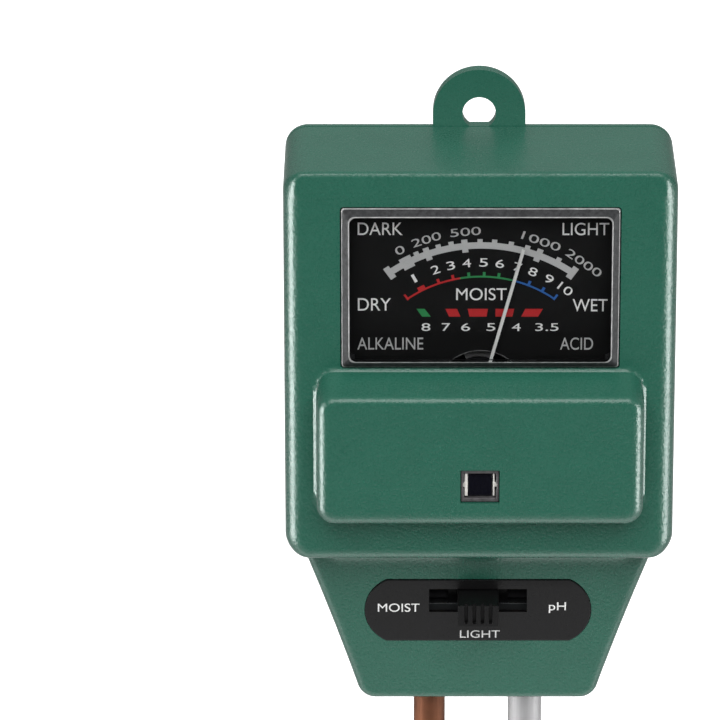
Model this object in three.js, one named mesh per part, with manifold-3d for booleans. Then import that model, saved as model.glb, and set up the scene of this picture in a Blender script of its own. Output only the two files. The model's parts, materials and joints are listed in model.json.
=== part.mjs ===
// A three-way soil meter: moisture, light and pH, read on one moving-coil dial.
// Millimetres, +Z up, -Y is the face with the dial, +X is the right-hand side of that face.
// The origin is the middle of the case's flat bottom, between the two probes.

import * as THREE from 'three';
import { mergeVertices } from 'three/addons/utils/BufferGeometryUtils.js';
import Module from 'manifold-3d';

const wasm = await Module();
wasm.setup();

// ---- Driving dimensions ----

// Case
const CASE_HALF_WIDTH = 32.05;
const SHOULDER_Z = 29.65;
const CASE_TOP_Z = 97.5;
const FRONT_Y = -17.5;
const PARTING_Y = 6.4;
const BACK_Y = 8.9;
const WALL = 2;
const TOP_CORNER_R = 3.8;
const BOTTOM_CORNER_R = 4.2;
const SIDE_EDGE_R = 3.1;
const TOP_EDGE_R = 0.5;
const SHOULDER_EDGE_R = 2;
const BACK_EDGE_R = 1.4;
const FIT_GAP = 0.1;
const SEAT_GAP = 0.02;
const MIN_RADIUS = 0.4;
const ARC_STEPS = 4;
const SIDES = [-1, 1];
const FAR = 150;

// Neck: its front leans out towards the top, and its sides flare in a shallow curve
const NECK_FOOT_Y = -6.33;
const NECK_TILT = THREE.MathUtils.degToRad(4);
const NECK_FOOT_HALF_WIDTH = 19.55;
const NECK_TOP_HALF_WIDTH = 29.93;
const NECK_CURVE_X = 24.6;
const NECK_CORNER_R = 2;
const NECK_EDGE_R = 0.8;
const NECK_FILLET_R = 4.5;
const NECK_FOOT_FLARE = 0.3;
const NECK_OVERLAP = 4;

// Brow: the raised block that covers the movement and carries the light cell
const BROW_HALF_WIDTH = 26.75;
const BROW_FRONT_Y = -24.5;
const BROW_BOTTOM_Z = 38.7;
const BROW_TOP_Z = 63.4;
const BROW_SLOPE_DROP = 2.4;
const BROW_CORNER_R = 3;
const BROW_SIDE_EDGE_R = 2.2;
const BROW_BOTTOM_EDGE_R = 2;
const BROW_TOP_EDGE_R = 0.8;
const BROW_ROOT_OVERLAP = 0.5;

// Hanging lug, part of the rear cover
const LUG_Z = 99.6;
const LUG_R = 7.65;
const LUG_HOLE_Z = 99.75;
const LUG_HOLE_R = 2.75;
const LUG_FRONT_Y = PARTING_Y;
const LUG_ROOT = 3;

// Screws that hold the rear cover
const COVER_SCREW_PLACES = [[-27.2, 92.7], [27.2, 92.7], [-16, 7.5], [16, 7.5]];
const COVER_BOSS_R = 2.4;
const COVER_PILOT_R = 1.2;
const COVER_SCREW = { shankR: 1, length: 10, headR: 2.2, headHeight: 1.2 };
const COVER_PILOT_PAST_TIP = 2.5;
const COVER_SINK_R = 2.5;
const COVER_SINK_DEPTH = 1.4;

// Screw heads, as fractions of the head's radius or height
const SCREW_RIM = 0.6;
const SCREW_CROWN = 0.6;
const RECESS = { reach: 0.55, half: 0.12, floor: 0.5 };

// Locating rim of the rear cover
const RIM_DEPTH = 1.7;
const RIM_THICKNESS = 1.2;
const RIM_GAP = 0.25;
const RIM_BOTTOM_Z = 13;
const RIM_BOSS_GAP = 0.4;
const RIM_CORNERS = [2, 2, 1, 1];

// Window and dial
const WINDOW = { x0: -22.8, x1: 22.8, z0: 63.8, z1: 91.7 };
const WINDOW_CORNER_R = 0.6;
const LENS_GAP = 0.2;
const LENS_PROUD = 1;
const LENS_BEVEL = 1.15;
const LENS_PLATE = 1.2;
const LENS_SKIRT = 1.1;
const LENS_FLANGE = 1.6;
const LENS_FLANGE_Y = [-15.4, -14.2];
const LENS_FLANGE_RELIEF = 0.4;
const LENS_NOTCH_HALF_WIDTH = 9.5;
const DIAL = { halfWidth: 24, z0: 59.2, z1: 92.6, frontY: -13.6, backY: -13 };
const DIAL_NOTCH_R = 7.5;

// Moving-coil movement, turning about the line x = 0, z = PIVOT_Z
const PIVOT_Z = 57.85;
const REST_ANGLE = THREE.MathUtils.degToRad(15.3);
const FRAME_PLATE = { halfWidth: 20, z0: -10.8, z1: 5.6, frontY: -12.95, backY: -11.4 };
const COLLAR_R = 11;
const RING_OUTER_R = 9.5;
const RING_INNER_R = 7.9;
const RING_Y = [-10.5, -1.5];
const MAGNET_R = 5;
const MAGNET_Y = [-10, -2];
const CLIP_HALF_ANGLE = THREE.MathUtils.degToRad(25);
const COIL = { outerR: 6.9, innerR: 5.9, halfWidth: 1.2, frontY: -11.8, backY: -0.2 };
const PIVOT_BASE_R = 1.5;
const ARBOR_R = 0.4;
const COLLET_R = 0.8;
const COLLET_LENGTH = 0.7;
const PIVOT_BASE_THICKNESS = 0.5;
const PIVOT_POINT = 0.55;
const POINTER_Y = [-15.2, -14.8];
const POINTER_LENGTH = 26.7;
const POINTER_TIP_HALF_WIDTH = 0.26;
const POINTER_ROOT_HALF_WIDTH = 0.42;
const POINTER_HUB_R = 1.5;
const POINTER_TAIL = 6;
const POINTER_TAPER_END = 4.5;
const SPRING_INNER_R = 0.95;
const SPRING_OUTER_R = 3.5;
const SPRING_TURNS = 3;
const SPRING_THICKNESS = 0.16;
const SPRING_WIDTH = 0.5;
const FRONT_SPRING_Y = -17.3;
const REAR_SPRING_Y = 1;
const BRIDGE_Y = [-19.4, -18.6];
const BRIDGE_LEG_X = [11.2, 12.2];
const BRIDGE_FOOT_X = 15.6;
const BRIDGE_HALF_HEIGHT = 1.1;
const BRIDGE_EYE_R = 2.5;
const BRIDGE_SCREW_X = 13.9;
const REAR_BRIDGE_Y = [2.4, 3.9];
const REAR_STRAP_HALF_HEIGHT = 2;
const CLIP_GAP = 0.08;
const CLIP_INSET = 0.5;
const JEWEL_R = 1.5;
const JEWEL_SCREW = { cupR: 0.75, cupDepth: 1, length: 2.2, slotDepth: 0.5, slotHalfWidth: 0.2 };
const JEWEL_SEAT_Y = { front: -18.2, rear: 2.4 };
const ADJUSTER = { ringR: 2.6, frontY: -18.5, backY: -18.1, armHalfWidth: 0.5, armEndZ: -4.4 };
const ADJUSTER_POST = { halfWidth: 0.3, thickness: 0.5, backY: -16.6 };
const BRIDGE_SCREW = { shankR: 0.5, length: 1.7, headR: 1, headHeight: 0.6 };
const BRIDGE_HOLE_R = 0.75;
const BRIDGE_PILOT_R = 0.6;
const BRIDGE_FOOT_THICKNESS = 0.8;
const WEIGHT = { r: 1, boreR: 0.55, z0: -5.6, z1: -4 };
const MOVEMENT_SCREW = { shankR: 0.8, length: 6, headR: 1.9, headHeight: 1 };
const MOVEMENT_SCREW_X = 17.2;
const MOVEMENT_SCREW_Z = -6.9;
const MOVEMENT_SCREW_HOLE_R = 1.1;
const MOVEMENT_BOSS_R = 2.2;
const MOVEMENT_PILOT_R = 0.95;
const MOVEMENT_PILOT_Y = [-19.5, -12];

// Light cell
const CELL_Z = 45.75;
const CELL_OPENING = { halfWidth: 3.2, halfHeight: 2.9 };
const CELL_CHIP = { halfWidth: 1.87, halfHeight: 1.98, frontY: 1.3, backY: 2.25 };
const CELL_TRAY = { halfWidth: 3.05, halfHeight: 2.75, frontY: 0.5 };
const CELL_POCKET = { halfWidth: 2.7, halfHeight: 2.15 };
const CELL_FLANGE = { halfWidth: 4.6, halfHeight: 3.8, thickness: 1.2 };
const CONTACT = { x: 2.3, halfWidth: 0.25, halfHeight: 2, frontY: 1.1, backY: 2.2 };
const CONTACT_LEG = { halfWidth: 0.2, halfHeight: 0.45, backY: 5 };
const LEG_SLOT_GAP = 0.15;

// Slide switch, in the plane of the neck's front: z runs up the neck, -y points out of it
const SWITCH_Z = 18.6;
const PLATE_HALF_LENGTH = 18.95;
const PLATE_HALF_HEIGHT = 5.7;
const PLATE_END_R = 6.3;
const PLATE_Z = 16.75;
const PLATE_Y = [-0.2, 0.6];
const PLATE_RECESS = 0.7;
const SLOT_HALF_LENGTH = 8.2;
const SLOT_HALF_HEIGHT = 2.15;
const KNOB_HALF_WIDTH = 3.4;
const KNOB_HALF_HEIGHT = 2;
const KNOB_REACH = 6;
const KNOB_GROOVES = 4;
const SWITCH_FRAME = { halfWidth: 9.8, halfHeight: 3.6, frontY: 3, backY: 8, sheet: 0.4 };
const SWITCH_EAR_X = 14.6;
const SWITCH_SCREW_X = 12.4;
const SWITCH_EAR_HALF_HEIGHT = 2.4;
const SWITCH_SCREW = { shankR: 0.7, length: 1.9, headR: 1.7, headHeight: 0.9 };
const SWITCH_SCREW_HOLE_R = 1;
const SWITCH_BOSS_R = 1.8;
const SWITCH_PILOT_R = 0.85;
const SWITCH_PILOT_Y = [1, 4];
const CARRIAGE = { halfWidth: 5, halfHeight: 2.9, frontY: 3.5, backY: 5 };
const GROOVE = { halfWidth: 0.3, depth: 0.6, bottomZ: -1.4 };
const SWITCH_BASE = { halfWidth: 9.2, halfHeight: 3, frontY: 6.8, backY: 7.9 };
const PIN_PAD = { halfWidth: 0.8, halfHeight: 1.2, frontY: 6.35, backY: 6.75 };
const PIN_LEG = { halfWidth: 0.25, halfHeight: 0.6, backY: 11 };
const PIN_HOLE_GAP = [0.1, 0.15];
const PIN_PITCH = 4.2;
const PIN_COUNT = 4;

// Circuit board, on the switch pins
const BOARD = { halfWidth: 11.6, z0: 14.8, z1: 30, frontY: 9.2, backY: 10.2 };
const RESISTOR_PLACES = [25, 28];
const RESISTOR = { r: 0.9, length: 6, standoff: 1.3, leadHalfLength: 5, leadHalf: 0.25 };

// Probes
const PROBE_X = 8.1;
const PROBE_TIP_Z = -190;
const PROBE_POINT = 13;
const COPPER_R = 2.65;
const ALUMINIUM_R = 2.85;
const PROBE_TIP_WIDTH = 0.35;
const PROBE_TIP_LENGTH = 1.4;
const STUD_R = 1.5;
const STUD_CHAMFER = 0.4;
const STUD_TOP_Z = 13.2;
const SHOULDER_TOP_Z = 5.2;
const PROBE_HOLE_GAP = 0.2;
const CARRIER = { halfWidth: 12.8, halfDepth: 3.9, z0: 2.1, z1: 9, cornerR: 1.5, boreGap: 0.15 };
const TERMINAL = { r: 3, z0: 9.1, z1: 9.6, tabHalfWidth: 1, tabEndX: 1.7, tabRootX: 6 };
const NUT = { r: 2.9, z0: 9.7, z1: 12.1 };
const STUD_GAP = 0.1;
const WIRE_R = 0.45;

// ---- Materials ----

function material(color, roughness, metalness = 0, extra = {}) {
  return new THREE.MeshStandardMaterial({ color, roughness, metalness, ...extra });
}

const MATERIALS = {
  greenPlastic: material(0x2e6756, 0.42),
  clearPlastic: material(0xe8eeee, 0.08, 0, { transparent: true, opacity: 0.3 }),
  dialBlack: material(0x0e0e0e, 0.6),
  blackPlastic: material(0x1b1a1c, 0.4),
  whitePaint: material(0xe8e8e4, 0.5),
  steel: material(0xa9abae, 0.35, 1),
  blackIron: material(0x4a4c50, 0.5, 0.9),
  brass: material(0xb8964a, 0.35, 1),
  copper: material(0x8a5238, 0.38, 1),
  aluminium: material(0xb2b0b3, 0.35, 1),
  enamelledWire: material(0x9a4a22, 0.35, 0.6),
  springBronze: material(0xa8834a, 0.3, 1),
  magnet: material(0x3a3b3e, 0.45, 0.7),
  silicon: material(0x08080c, 0.15),
  phenolic: material(0x6e4426, 0.6),
  frameResin: material(0xcfcab8, 0.55),
  resistorBody: material(0xc9a876, 0.5),
  redInsulation: material(0xa8231f, 0.5),
  blackInsulation: material(0x151515, 0.5),
};

// ---- Helpers ----

// A closed geometry as a manifold-3d solid.
function solid(geometry) {
  const bare = geometry.index ? geometry.toNonIndexed() : geometry.clone();
  bare.deleteAttribute('normal');
  bare.deleteAttribute('uv');
  const merged = mergeVertices(bare, 1e-4);
  const vertProperties = new Float32Array(merged.attributes.position.array);
  const triVerts = new Uint32Array(merged.index.array);
  return new wasm.Manifold(new wasm.Mesh({ numProp: 3, vertProperties, triVerts }));
}

// A manifold-3d solid as a flat-shaded geometry.
function geometryOf(body) {
  const { vertProperties, triVerts } = body.getMesh();
  const indexed = new THREE.BufferGeometry();
  indexed.setAttribute('position', new THREE.BufferAttribute(new Float32Array(vertProperties), 3));
  indexed.setIndex(new THREE.BufferAttribute(new Uint32Array(triVerts), 1));
  const flat = indexed.toNonIndexed();
  flat.computeVertexNormals();
  return flat;
}

function join(...geometries) {
  return geometries.map(asSolid).reduce((sum, next) => sum.add(next));
}

function common(...geometries) {
  return geometries.map(asSolid).reduce((sum, next) => sum.intersect(next));
}

function cut(base, ...tools) {
  return tools.map(asSolid).reduce((left, tool) => left.subtract(tool), asSolid(base));
}

function asSolid(shape) {
  return shape.isBufferGeometry ? solid(shape) : shape;
}

function mesh(name, shape, finish) {
  const geometry = shape.isBufferGeometry ? shape : geometryOf(shape);
  const made = new THREE.Mesh(geometry, finish);
  made.name = name;
  return made;
}

function extrude(shape, depth, curveSegments = ARC_STEPS) {
  return new THREE.ExtrudeGeometry(shape, { depth, curveSegments, bevelEnabled: false });
}

// A shape drawn in x and z, running from y0 to y1.
function alongY(shape, y0, y1, curveSegments) {
  return extrude(shape, y1 - y0, curveSegments).rotateX(Math.PI / 2).translate(0, y1, 0);
}

// A shape drawn in y and z, running from x0 to x1.
function alongX(shape, x0, x1, curveSegments) {
  const turned = extrude(shape, x1 - x0, curveSegments).rotateX(Math.PI / 2).rotateZ(Math.PI / 2);
  return turned.translate(x0, 0, 0);
}

// A shape drawn in x and y, running from z0 to z1.
function alongZ(shape, z0, z1, curveSegments) {
  return extrude(shape, z1 - z0, curveSegments).translate(0, 0, z0);
}

function box(x0, x1, y0, y1, z0, z1) {
  const block = new THREE.BoxGeometry(x1 - x0, y1 - y0, z1 - z0);
  return block.translate((x0 + x1) / 2, (y0 + y1) / 2, (z0 + z1) / 2);
}

// A cylinder along Y at (x, z).
function rodY(radius, y0, y1, x = 0, z = 0, sides = 16) {
  const rod = new THREE.CylinderGeometry(radius, radius, y1 - y0, sides);
  return rod.translate(x, (y0 + y1) / 2, z);
}

// A cylinder along Z at (x, y).
function rodZ(radius, z0, z1, x = 0, y = 0, sides = 16) {
  const rod = new THREE.CylinderGeometry(radius, radius, z1 - z0, sides).rotateX(Math.PI / 2);
  return rod.translate(x, y, (z0 + z1) / 2);
}

// A rectangle with its own radius at each corner, anticlockwise from bottom left.
function roundedRect(x0, x1, y0, y1, [bl, br, tr, tl]) {
  const shape = new THREE.Shape();
  shape.moveTo(x0 + bl, y0);
  shape.lineTo(x1 - br, y0);
  if (br) shape.absarc(x1 - br, y0 + br, br, -Math.PI / 2, 0);
  shape.lineTo(x1, y1 - tr);
  if (tr) shape.absarc(x1 - tr, y1 - tr, tr, 0, Math.PI / 2);
  shape.lineTo(x0 + tl, y1);
  if (tl) shape.absarc(x0 + tl, y1 - tl, tl, Math.PI / 2, Math.PI);
  shape.lineTo(x0, y0 + bl);
  if (bl) shape.absarc(x0 + bl, y0 + bl, bl, Math.PI, 1.5 * Math.PI);
  return shape;
}

function circle(x, y, radius) {
  return new THREE.Shape().absarc(x, y, radius, 0, 2 * Math.PI);
}

function polygon(points) {
  return new THREE.Shape(points.map(([x, y]) => new THREE.Vector2(x, y)));
}

// A round wire through the given points.
function wire(points, radius = WIRE_R) {
  const path = new THREE.CatmullRomCurve3(points.map((p) => new THREE.Vector3(...p)));
  return new THREE.ExtrudeGeometry(circle(0, 0, radius), {
    extrudePath: path,
    steps: 4 * points.length,
    curveSegments: 3,
    bevelEnabled: false,
  });
}

// A body of revolution about Y: the profile lists radius and y, from one end of the axis to the other.
function latheY(profile, sides = 16) {
  return new THREE.LatheGeometry(profile.map(([r, y]) => new THREE.Vector2(r, y)), sides);
}

// ---- Case outlines, each with an inset so that the same function draws the skin and its hollow ----

function upperBlock(inset, backY) {
  const half = CASE_HALF_WIDTH - inset;
  const low = SHOULDER_Z + inset;
  const high = CASE_TOP_Z - inset;
  const front = FRONT_Y + inset;
  const shrink = (r) => Math.max(r - inset, MIN_RADIUS);
  const corners = [BOTTOM_CORNER_R, BOTTOM_CORNER_R, TOP_CORNER_R, TOP_CORNER_R].map(shrink);
  const face = roundedRect(-half, half, low, high, corners);
  const plan = roundedRect(-half, half, front, backY, [shrink(SIDE_EDGE_R), shrink(SIDE_EDGE_R), 0, 0]);
  const side = roundedRect(front, backY, low, high, [shrink(SHOULDER_EDGE_R), 0, 0, shrink(TOP_EDGE_R)]);
  return common(alongY(face, front, backY), alongZ(plan, low, high), alongX(side, -half, half));
}

// The neck's outline from its foot up to topZ, inside the upper block.
function neckFace(inset, topZ) {
  const foot = NECK_FOOT_HALF_WIDTH - inset;
  const top = NECK_TOP_HALF_WIDTH - inset;
  const low = inset;
  const r = Math.max(NECK_CORNER_R - inset, MIN_RADIUS);
  const shape = new THREE.Shape();
  shape.moveTo(r - foot, low);
  shape.lineTo(foot - r, low);
  shape.quadraticCurveTo(foot, low, foot + NECK_FOOT_FLARE * r, low + r);
  shape.quadraticCurveTo(NECK_CURVE_X - inset, SHOULDER_Z / 2, top, SHOULDER_Z);
  shape.lineTo(top, topZ);
  shape.lineTo(-top, topZ);
  shape.lineTo(-top, SHOULDER_Z);
  shape.quadraticCurveTo(inset - NECK_CURVE_X, SHOULDER_Z / 2, -foot - NECK_FOOT_FLARE * r, low + r);
  shape.quadraticCurveTo(-foot, low, r - foot, low);
  return shape;
}

function neckFrontY(z) {
  return NECK_FOOT_Y - Math.tan(NECK_TILT) * z;
}

// The neck's side view: leaning front, rounded foot, and a hollow fillet under the upper block.
function neckSide(inset, backY, topZ) {
  const low = inset;
  const r = Math.max(NECK_EDGE_R - inset, MIN_RADIUS);
  const filletStart = SHOULDER_Z - NECK_FILLET_R;
  const filletEnd = neckFrontY(SHOULDER_Z) - NECK_FILLET_R + inset;
  const shape = new THREE.Shape();
  shape.moveTo(backY, low);
  shape.lineTo(neckFrontY(low) + inset + r, low);
  shape.quadraticCurveTo(neckFrontY(low) + inset, low, neckFrontY(low + r) + inset, low + r);
  shape.lineTo(neckFrontY(filletStart) + inset, filletStart);
  shape.quadraticCurveTo(neckFrontY(SHOULDER_Z) + inset, SHOULDER_Z + inset, filletEnd, SHOULDER_Z + inset);
  shape.lineTo(filletEnd, topZ);
  shape.lineTo(backY, topZ);
  return shape;
}

function neckBlock(inset, backY) {
  const topZ = SHOULDER_Z + NECK_OVERLAP;
  const face = alongY(neckFace(inset, topZ), FRONT_Y, backY);
  const side = alongX(neckSide(inset, backY, topZ), -CASE_HALF_WIDTH, CASE_HALF_WIDTH);
  return common(face, side);
}

function browBlock(inset) {
  const half = BROW_HALF_WIDTH - inset;
  const low = BROW_BOTTOM_Z + inset;
  const high = BROW_TOP_Z - inset;
  const front = BROW_FRONT_Y + inset;
  const root = FRONT_Y + WALL + BROW_ROOT_OVERLAP;
  const shrink = (r) => Math.max(r - inset, MIN_RADIUS);
  const r = shrink(BROW_CORNER_R);
  const edge = shrink(BROW_SIDE_EDGE_R);
  const face = roundedRect(-half, half, low, high, [r, r, r, r]);
  const plan = roundedRect(-half, half, front, root, [edge, edge, 0, 0]);
  const brink = high - BROW_SLOPE_DROP;
  const lip = BROW_TOP_EDGE_R;
  const toe = shrink(BROW_BOTTOM_EDGE_R);
  const slope = BROW_SLOPE_DROP / (FRONT_Y - BROW_FRONT_Y);
  const side = new THREE.Shape();
  side.moveTo(root, low);
  side.lineTo(root, high);
  side.lineTo(FRONT_Y, high);
  side.lineTo(front + lip, brink + lip * slope);
  side.quadraticCurveTo(front, brink, front, brink - lip);
  side.lineTo(front, low + toe);
  side.quadraticCurveTo(front, low, front + toe, low);
  return common(alongY(face, front, root), alongZ(plan, low, high), alongX(side, -half, half));
}

// ---- Case parts ----

const neckMatrix = new THREE.Matrix4().makeRotationX(NECK_TILT).setPosition(0, NECK_FOOT_Y, 0);

function inNeck(geometry) {
  return geometry.applyMatrix4(neckMatrix);
}

// The switch plate's outline: two straight edges joined by arcs that meet them in blunt corners.
function plateShape(grow) {
  const shape = new THREE.Shape();
  const run = PLATE_HALF_LENGTH - PLATE_END_R;
  const r = PLATE_END_R + grow;
  const sweep = Math.asin((PLATE_HALF_HEIGHT + grow) / r);
  shape.absarc(run, PLATE_Z, r, -sweep, sweep);
  shape.absarc(-run, PLATE_Z, r, Math.PI - sweep, Math.PI + sweep);
  return shape;
}

function windowShape(inset, cornerR) {
  const r = [cornerR, cornerR, cornerR, cornerR];
  return roundedRect(WINDOW.x0 + inset, WINDOW.x1 - inset, WINDOW.z0 + inset, WINDOW.z1 - inset, r);
}

function coverBosses() {
  return COVER_SCREW_PLACES.map(([x, z]) => {
    const frontY = z > SHOULDER_Z ? FRONT_Y + WALL / 2 : neckFrontY(z) + WALL / 2;
    return rodY(COVER_BOSS_R, frontY, PARTING_Y, x, z);
  });
}

function movementBosses() {
  const z = PIVOT_Z + MOVEMENT_SCREW_Z;
  const backY = FRAME_PLATE.frontY - FIT_GAP / 2;
  return SIDES.map((s) => rodY(MOVEMENT_BOSS_R, BROW_FRONT_Y + WALL / 2, backY, s * MOVEMENT_SCREW_X, z));
}

function switchBosses() {
  const backY = SWITCH_FRAME.frontY - FIT_GAP;
  return SIDES.map((s) => inNeck(rodY(SWITCH_BOSS_R, WALL / 2, backY, s * SWITCH_SCREW_X, SWITCH_Z, 12)));
}

function frontShell() {
  const skin = join(upperBlock(0, PARTING_Y), neckBlock(0, PARTING_Y), browBlock(0));
  const past = PARTING_Y + 1;
  const hollow = join(upperBlock(WALL, past), neckBlock(WALL, past), browBlock(WALL));
  const shell = join(cut(skin, hollow), ...coverBosses(), ...movementBosses(), ...switchBosses());
  const pilotFront = BACK_Y - COVER_SCREW.length - COVER_PILOT_PAST_TIP;
  const coverPilots = COVER_SCREW_PLACES.map(([x, z]) => rodY(COVER_PILOT_R, pilotFront, past, x, z));
  const movementPilots = SIDES.map((s) =>
    rodY(MOVEMENT_PILOT_R, ...MOVEMENT_PILOT_Y, s * MOVEMENT_SCREW_X, PIVOT_Z + MOVEMENT_SCREW_Z, 12));
  const switchPilots = SIDES.map((s) =>
    inNeck(rodY(SWITCH_PILOT_R, ...SWITCH_PILOT_Y, s * SWITCH_SCREW_X, SWITCH_Z, 12)));
  const window = alongY(windowShape(0, WINDOW_CORNER_R), FRONT_Y - 1, FRONT_Y + WALL + 1);
  const cell = box(
    -CELL_OPENING.halfWidth, CELL_OPENING.halfWidth,
    BROW_FRONT_Y - 1, BROW_FRONT_Y + WALL + 1,
    CELL_Z - CELL_OPENING.halfHeight, CELL_Z + CELL_OPENING.halfHeight,
  );
  const recess = inNeck(alongY(plateShape(FIT_GAP), -1, PLATE_RECESS, 8));
  const slot = inNeck(box(
    -SLOT_HALF_LENGTH, SLOT_HALF_LENGTH, -1, WALL + 1,
    SWITCH_Z - SLOT_HALF_HEIGHT, SWITCH_Z + SLOT_HALF_HEIGHT,
  ));
  const probeHoles = [
    rodZ(COPPER_R + PROBE_HOLE_GAP, -1, WALL + 1, -PROBE_X, 0, 20),
    rodZ(ALUMINIUM_R + PROBE_HOLE_GAP, -1, WALL + 1, PROBE_X, 0, 20),
  ];
  const pilots = [...coverPilots, ...movementPilots, ...switchPilots];
  return cut(shell, ...pilots, window, cell, recess, slot, ...probeHoles);
}

// The whole case outline as one slab, its back edge rounded.
function coverSlab() {
  const settings = {
    depth: BACK_Y - PARTING_Y,
    curveSegments: ARC_STEPS,
    bevelSize: BACK_EDGE_R,
    bevelThickness: BACK_EDGE_R,
    bevelOffset: -BACK_EDGE_R,
    bevelSegments: 3,
  };
  const half = CASE_HALF_WIDTH;
  const corners = [BOTTOM_CORNER_R, BOTTOM_CORNER_R, TOP_CORNER_R, TOP_CORNER_R];
  const upper = roundedRect(-half, half, SHOULDER_Z, CASE_TOP_Z, corners);
  const rounded = [upper, neckFace(0, SHOULDER_Z + NECK_OVERLAP)].map((shape) =>
    new THREE.ExtrudeGeometry(shape, settings).rotateX(Math.PI / 2).translate(0, BACK_Y - BACK_EDGE_R, 0));
  const behind = box(-FAR, FAR, PARTING_Y, BACK_Y + 1, -FAR, FAR);
  return common(join(...rounded), behind);
}

function lug() {
  const shape = new THREE.Shape();
  const foot = CASE_TOP_Z - LUG_ROOT;
  shape.moveTo(-LUG_R, foot);
  shape.lineTo(LUG_R, foot);
  shape.lineTo(LUG_R, LUG_Z);
  shape.absarc(0, LUG_Z, LUG_R, 0, Math.PI);
  shape.lineTo(-LUG_R, foot);
  return alongY(shape, LUG_FRONT_Y, BACK_Y, 14);
}

function locatingRim() {
  const frontY = PARTING_Y - RIM_DEPTH;
  const backY = PARTING_Y + 0.5;
  const outer = join(upperSlab(WALL + RIM_GAP, frontY, backY), neckSlab(WALL + RIM_GAP, frontY, backY));
  const inset = WALL + RIM_GAP + RIM_THICKNESS;
  const inner = join(upperSlab(inset, frontY - 1, backY + 1), neckSlab(inset, frontY - 1, backY + 1));
  const below = box(-FAR, FAR, frontY - 1, backY + 1, -FAR, RIM_BOTTOM_Z);
  const bossRoom = COVER_SCREW_PLACES.map(([x, z]) =>
    rodY(COVER_BOSS_R + RIM_BOSS_GAP, frontY - 1, PARTING_Y, x, z));
  return cut(outer, inner, below, ...bossRoom);
}

function upperSlab(inset, y0, y1) {
  const half = CASE_HALF_WIDTH - inset;
  const shape = roundedRect(-half, half, SHOULDER_Z + inset, CASE_TOP_Z - inset, RIM_CORNERS);
  return alongY(shape, y0, y1, 3);
}

function neckSlab(inset, y0, y1) {
  return alongY(neckFace(inset, SHOULDER_Z + inset + NECK_OVERLAP), y0, y1);
}

function rearCover() {
  const plate = join(coverSlab(), lug(), locatingRim());
  const holes = COVER_SCREW_PLACES.flatMap(([x, z]) => [
    rodY(COVER_PILOT_R + FIT_GAP, PARTING_Y - RIM_DEPTH - 1, BACK_Y + 1, x, z),
    rodY(COVER_SINK_R, BACK_Y - COVER_SINK_DEPTH, BACK_Y + 1, x, z),
  ]);
  const hanger = rodY(LUG_HOLE_R, LUG_FRONT_Y - 1, BACK_Y + 1, 0, LUG_HOLE_Z, 24);
  const aboveCase = box(-FAR, FAR, LUG_FRONT_Y - 2, BACK_Y + 2, CASE_TOP_Z, FAR);
  return cut(plate, ...holes, common(hanger, aboveCase));
}

// A pan-head screw pointing to -Y, its head's seat at y = 0, with a cross recess.
function screw({ shankR, length, headR, headHeight }) {
  const profile = [
    [0, -length],
    [shankR, shankR - length],
    [shankR, 0],
    [headR, 0],
    [headR, headHeight * SCREW_RIM],
    [headR * SCREW_CROWN, headHeight],
    [0, headHeight],
  ];
  const reach = headR * RECESS.reach;
  const half = headR * RECESS.half;
  const floor = headHeight * RECESS.floor;
  return cut(
    latheY(profile, 12),
    box(-reach, reach, floor, headHeight + 1, -half, half),
    box(-half, half, floor, headHeight + 1, -reach, reach),
  );
}

function coverScrew(name, [x, z]) {
  const made = mesh(name, screw(COVER_SCREW), MATERIALS.steel);
  made.position.set(x, BACK_Y - COVER_SINK_DEPTH + SEAT_GAP, z);
  return made;
}

// The lens's cross-section from low to high: a band that narrows over its proud front.
function bevelledBand(low, high, proudY, backY) {
  return polygon([
    [low, backY], [low, FRONT_Y], [low + LENS_BEVEL, proudY],
    [high - LENS_BEVEL, proudY], [high, FRONT_Y], [high, backY],
  ]);
}

// A clear tray: flat bevelled front standing proud of the case, skirt in the opening, flange behind it.
function windowLens() {
  const half = WINDOW.x1 - LENS_GAP;
  const low = WINDOW.z0 + LENS_GAP;
  const high = WINDOW.z1 - LENS_GAP;
  const proudY = FRONT_Y - LENS_PROUD;
  const backY = LENS_FLANGE_Y[0];
  const face = roundedRect(-half, half, low, high, [0.5, 0.5, 0.5, 0.5]);
  const plan = bevelledBand(-half, half, proudY, backY);
  const side = bevelledBand(low, high, proudY, backY);
  const acrossX = alongZ(plan, low, high);
  const acrossZ = alongX(polygon(side.getPoints().map((p) => [p.y, p.x]).reverse()), -half, half);
  const plug = common(alongY(face, proudY, backY, 2), acrossX, acrossZ);
  const over = LENS_FLANGE;
  const flange = box(
    -half - over, half + over,
    LENS_FLANGE_Y[0] - SEAT_GAP, LENS_FLANGE_Y[1], low - over + LENS_FLANGE_RELIEF, high + over,
  );
  const notch = box(
    -LENS_NOTCH_HALF_WIDTH, LENS_NOTCH_HALF_WIDTH,
    LENS_FLANGE_Y[0], LENS_FLANGE_Y[1] + 1, low - over - 1, low + LENS_SKIRT + 1,
  );
  const inside = roundedRect(
    LENS_SKIRT - half, half - LENS_SKIRT, low + LENS_SKIRT, high - LENS_SKIRT, [1, 1, 1, 1]);
  const hollow = alongY(inside, proudY + LENS_PLATE, LENS_FLANGE_Y[1] + 1, 3);
  return cut(join(plug, flange), hollow, notch);
}

function dialPlate() {
  const { halfWidth, z0, z1, frontY, backY } = DIAL;
  const card = roundedRect(-halfWidth, halfWidth, z0, z1, [0, 0, 0, 0]);
  return cut(alongY(card, frontY, backY), rodY(DIAL_NOTCH_R, frontY - 1, backY + 1, 0, PIVOT_Z, 32));
}

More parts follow.
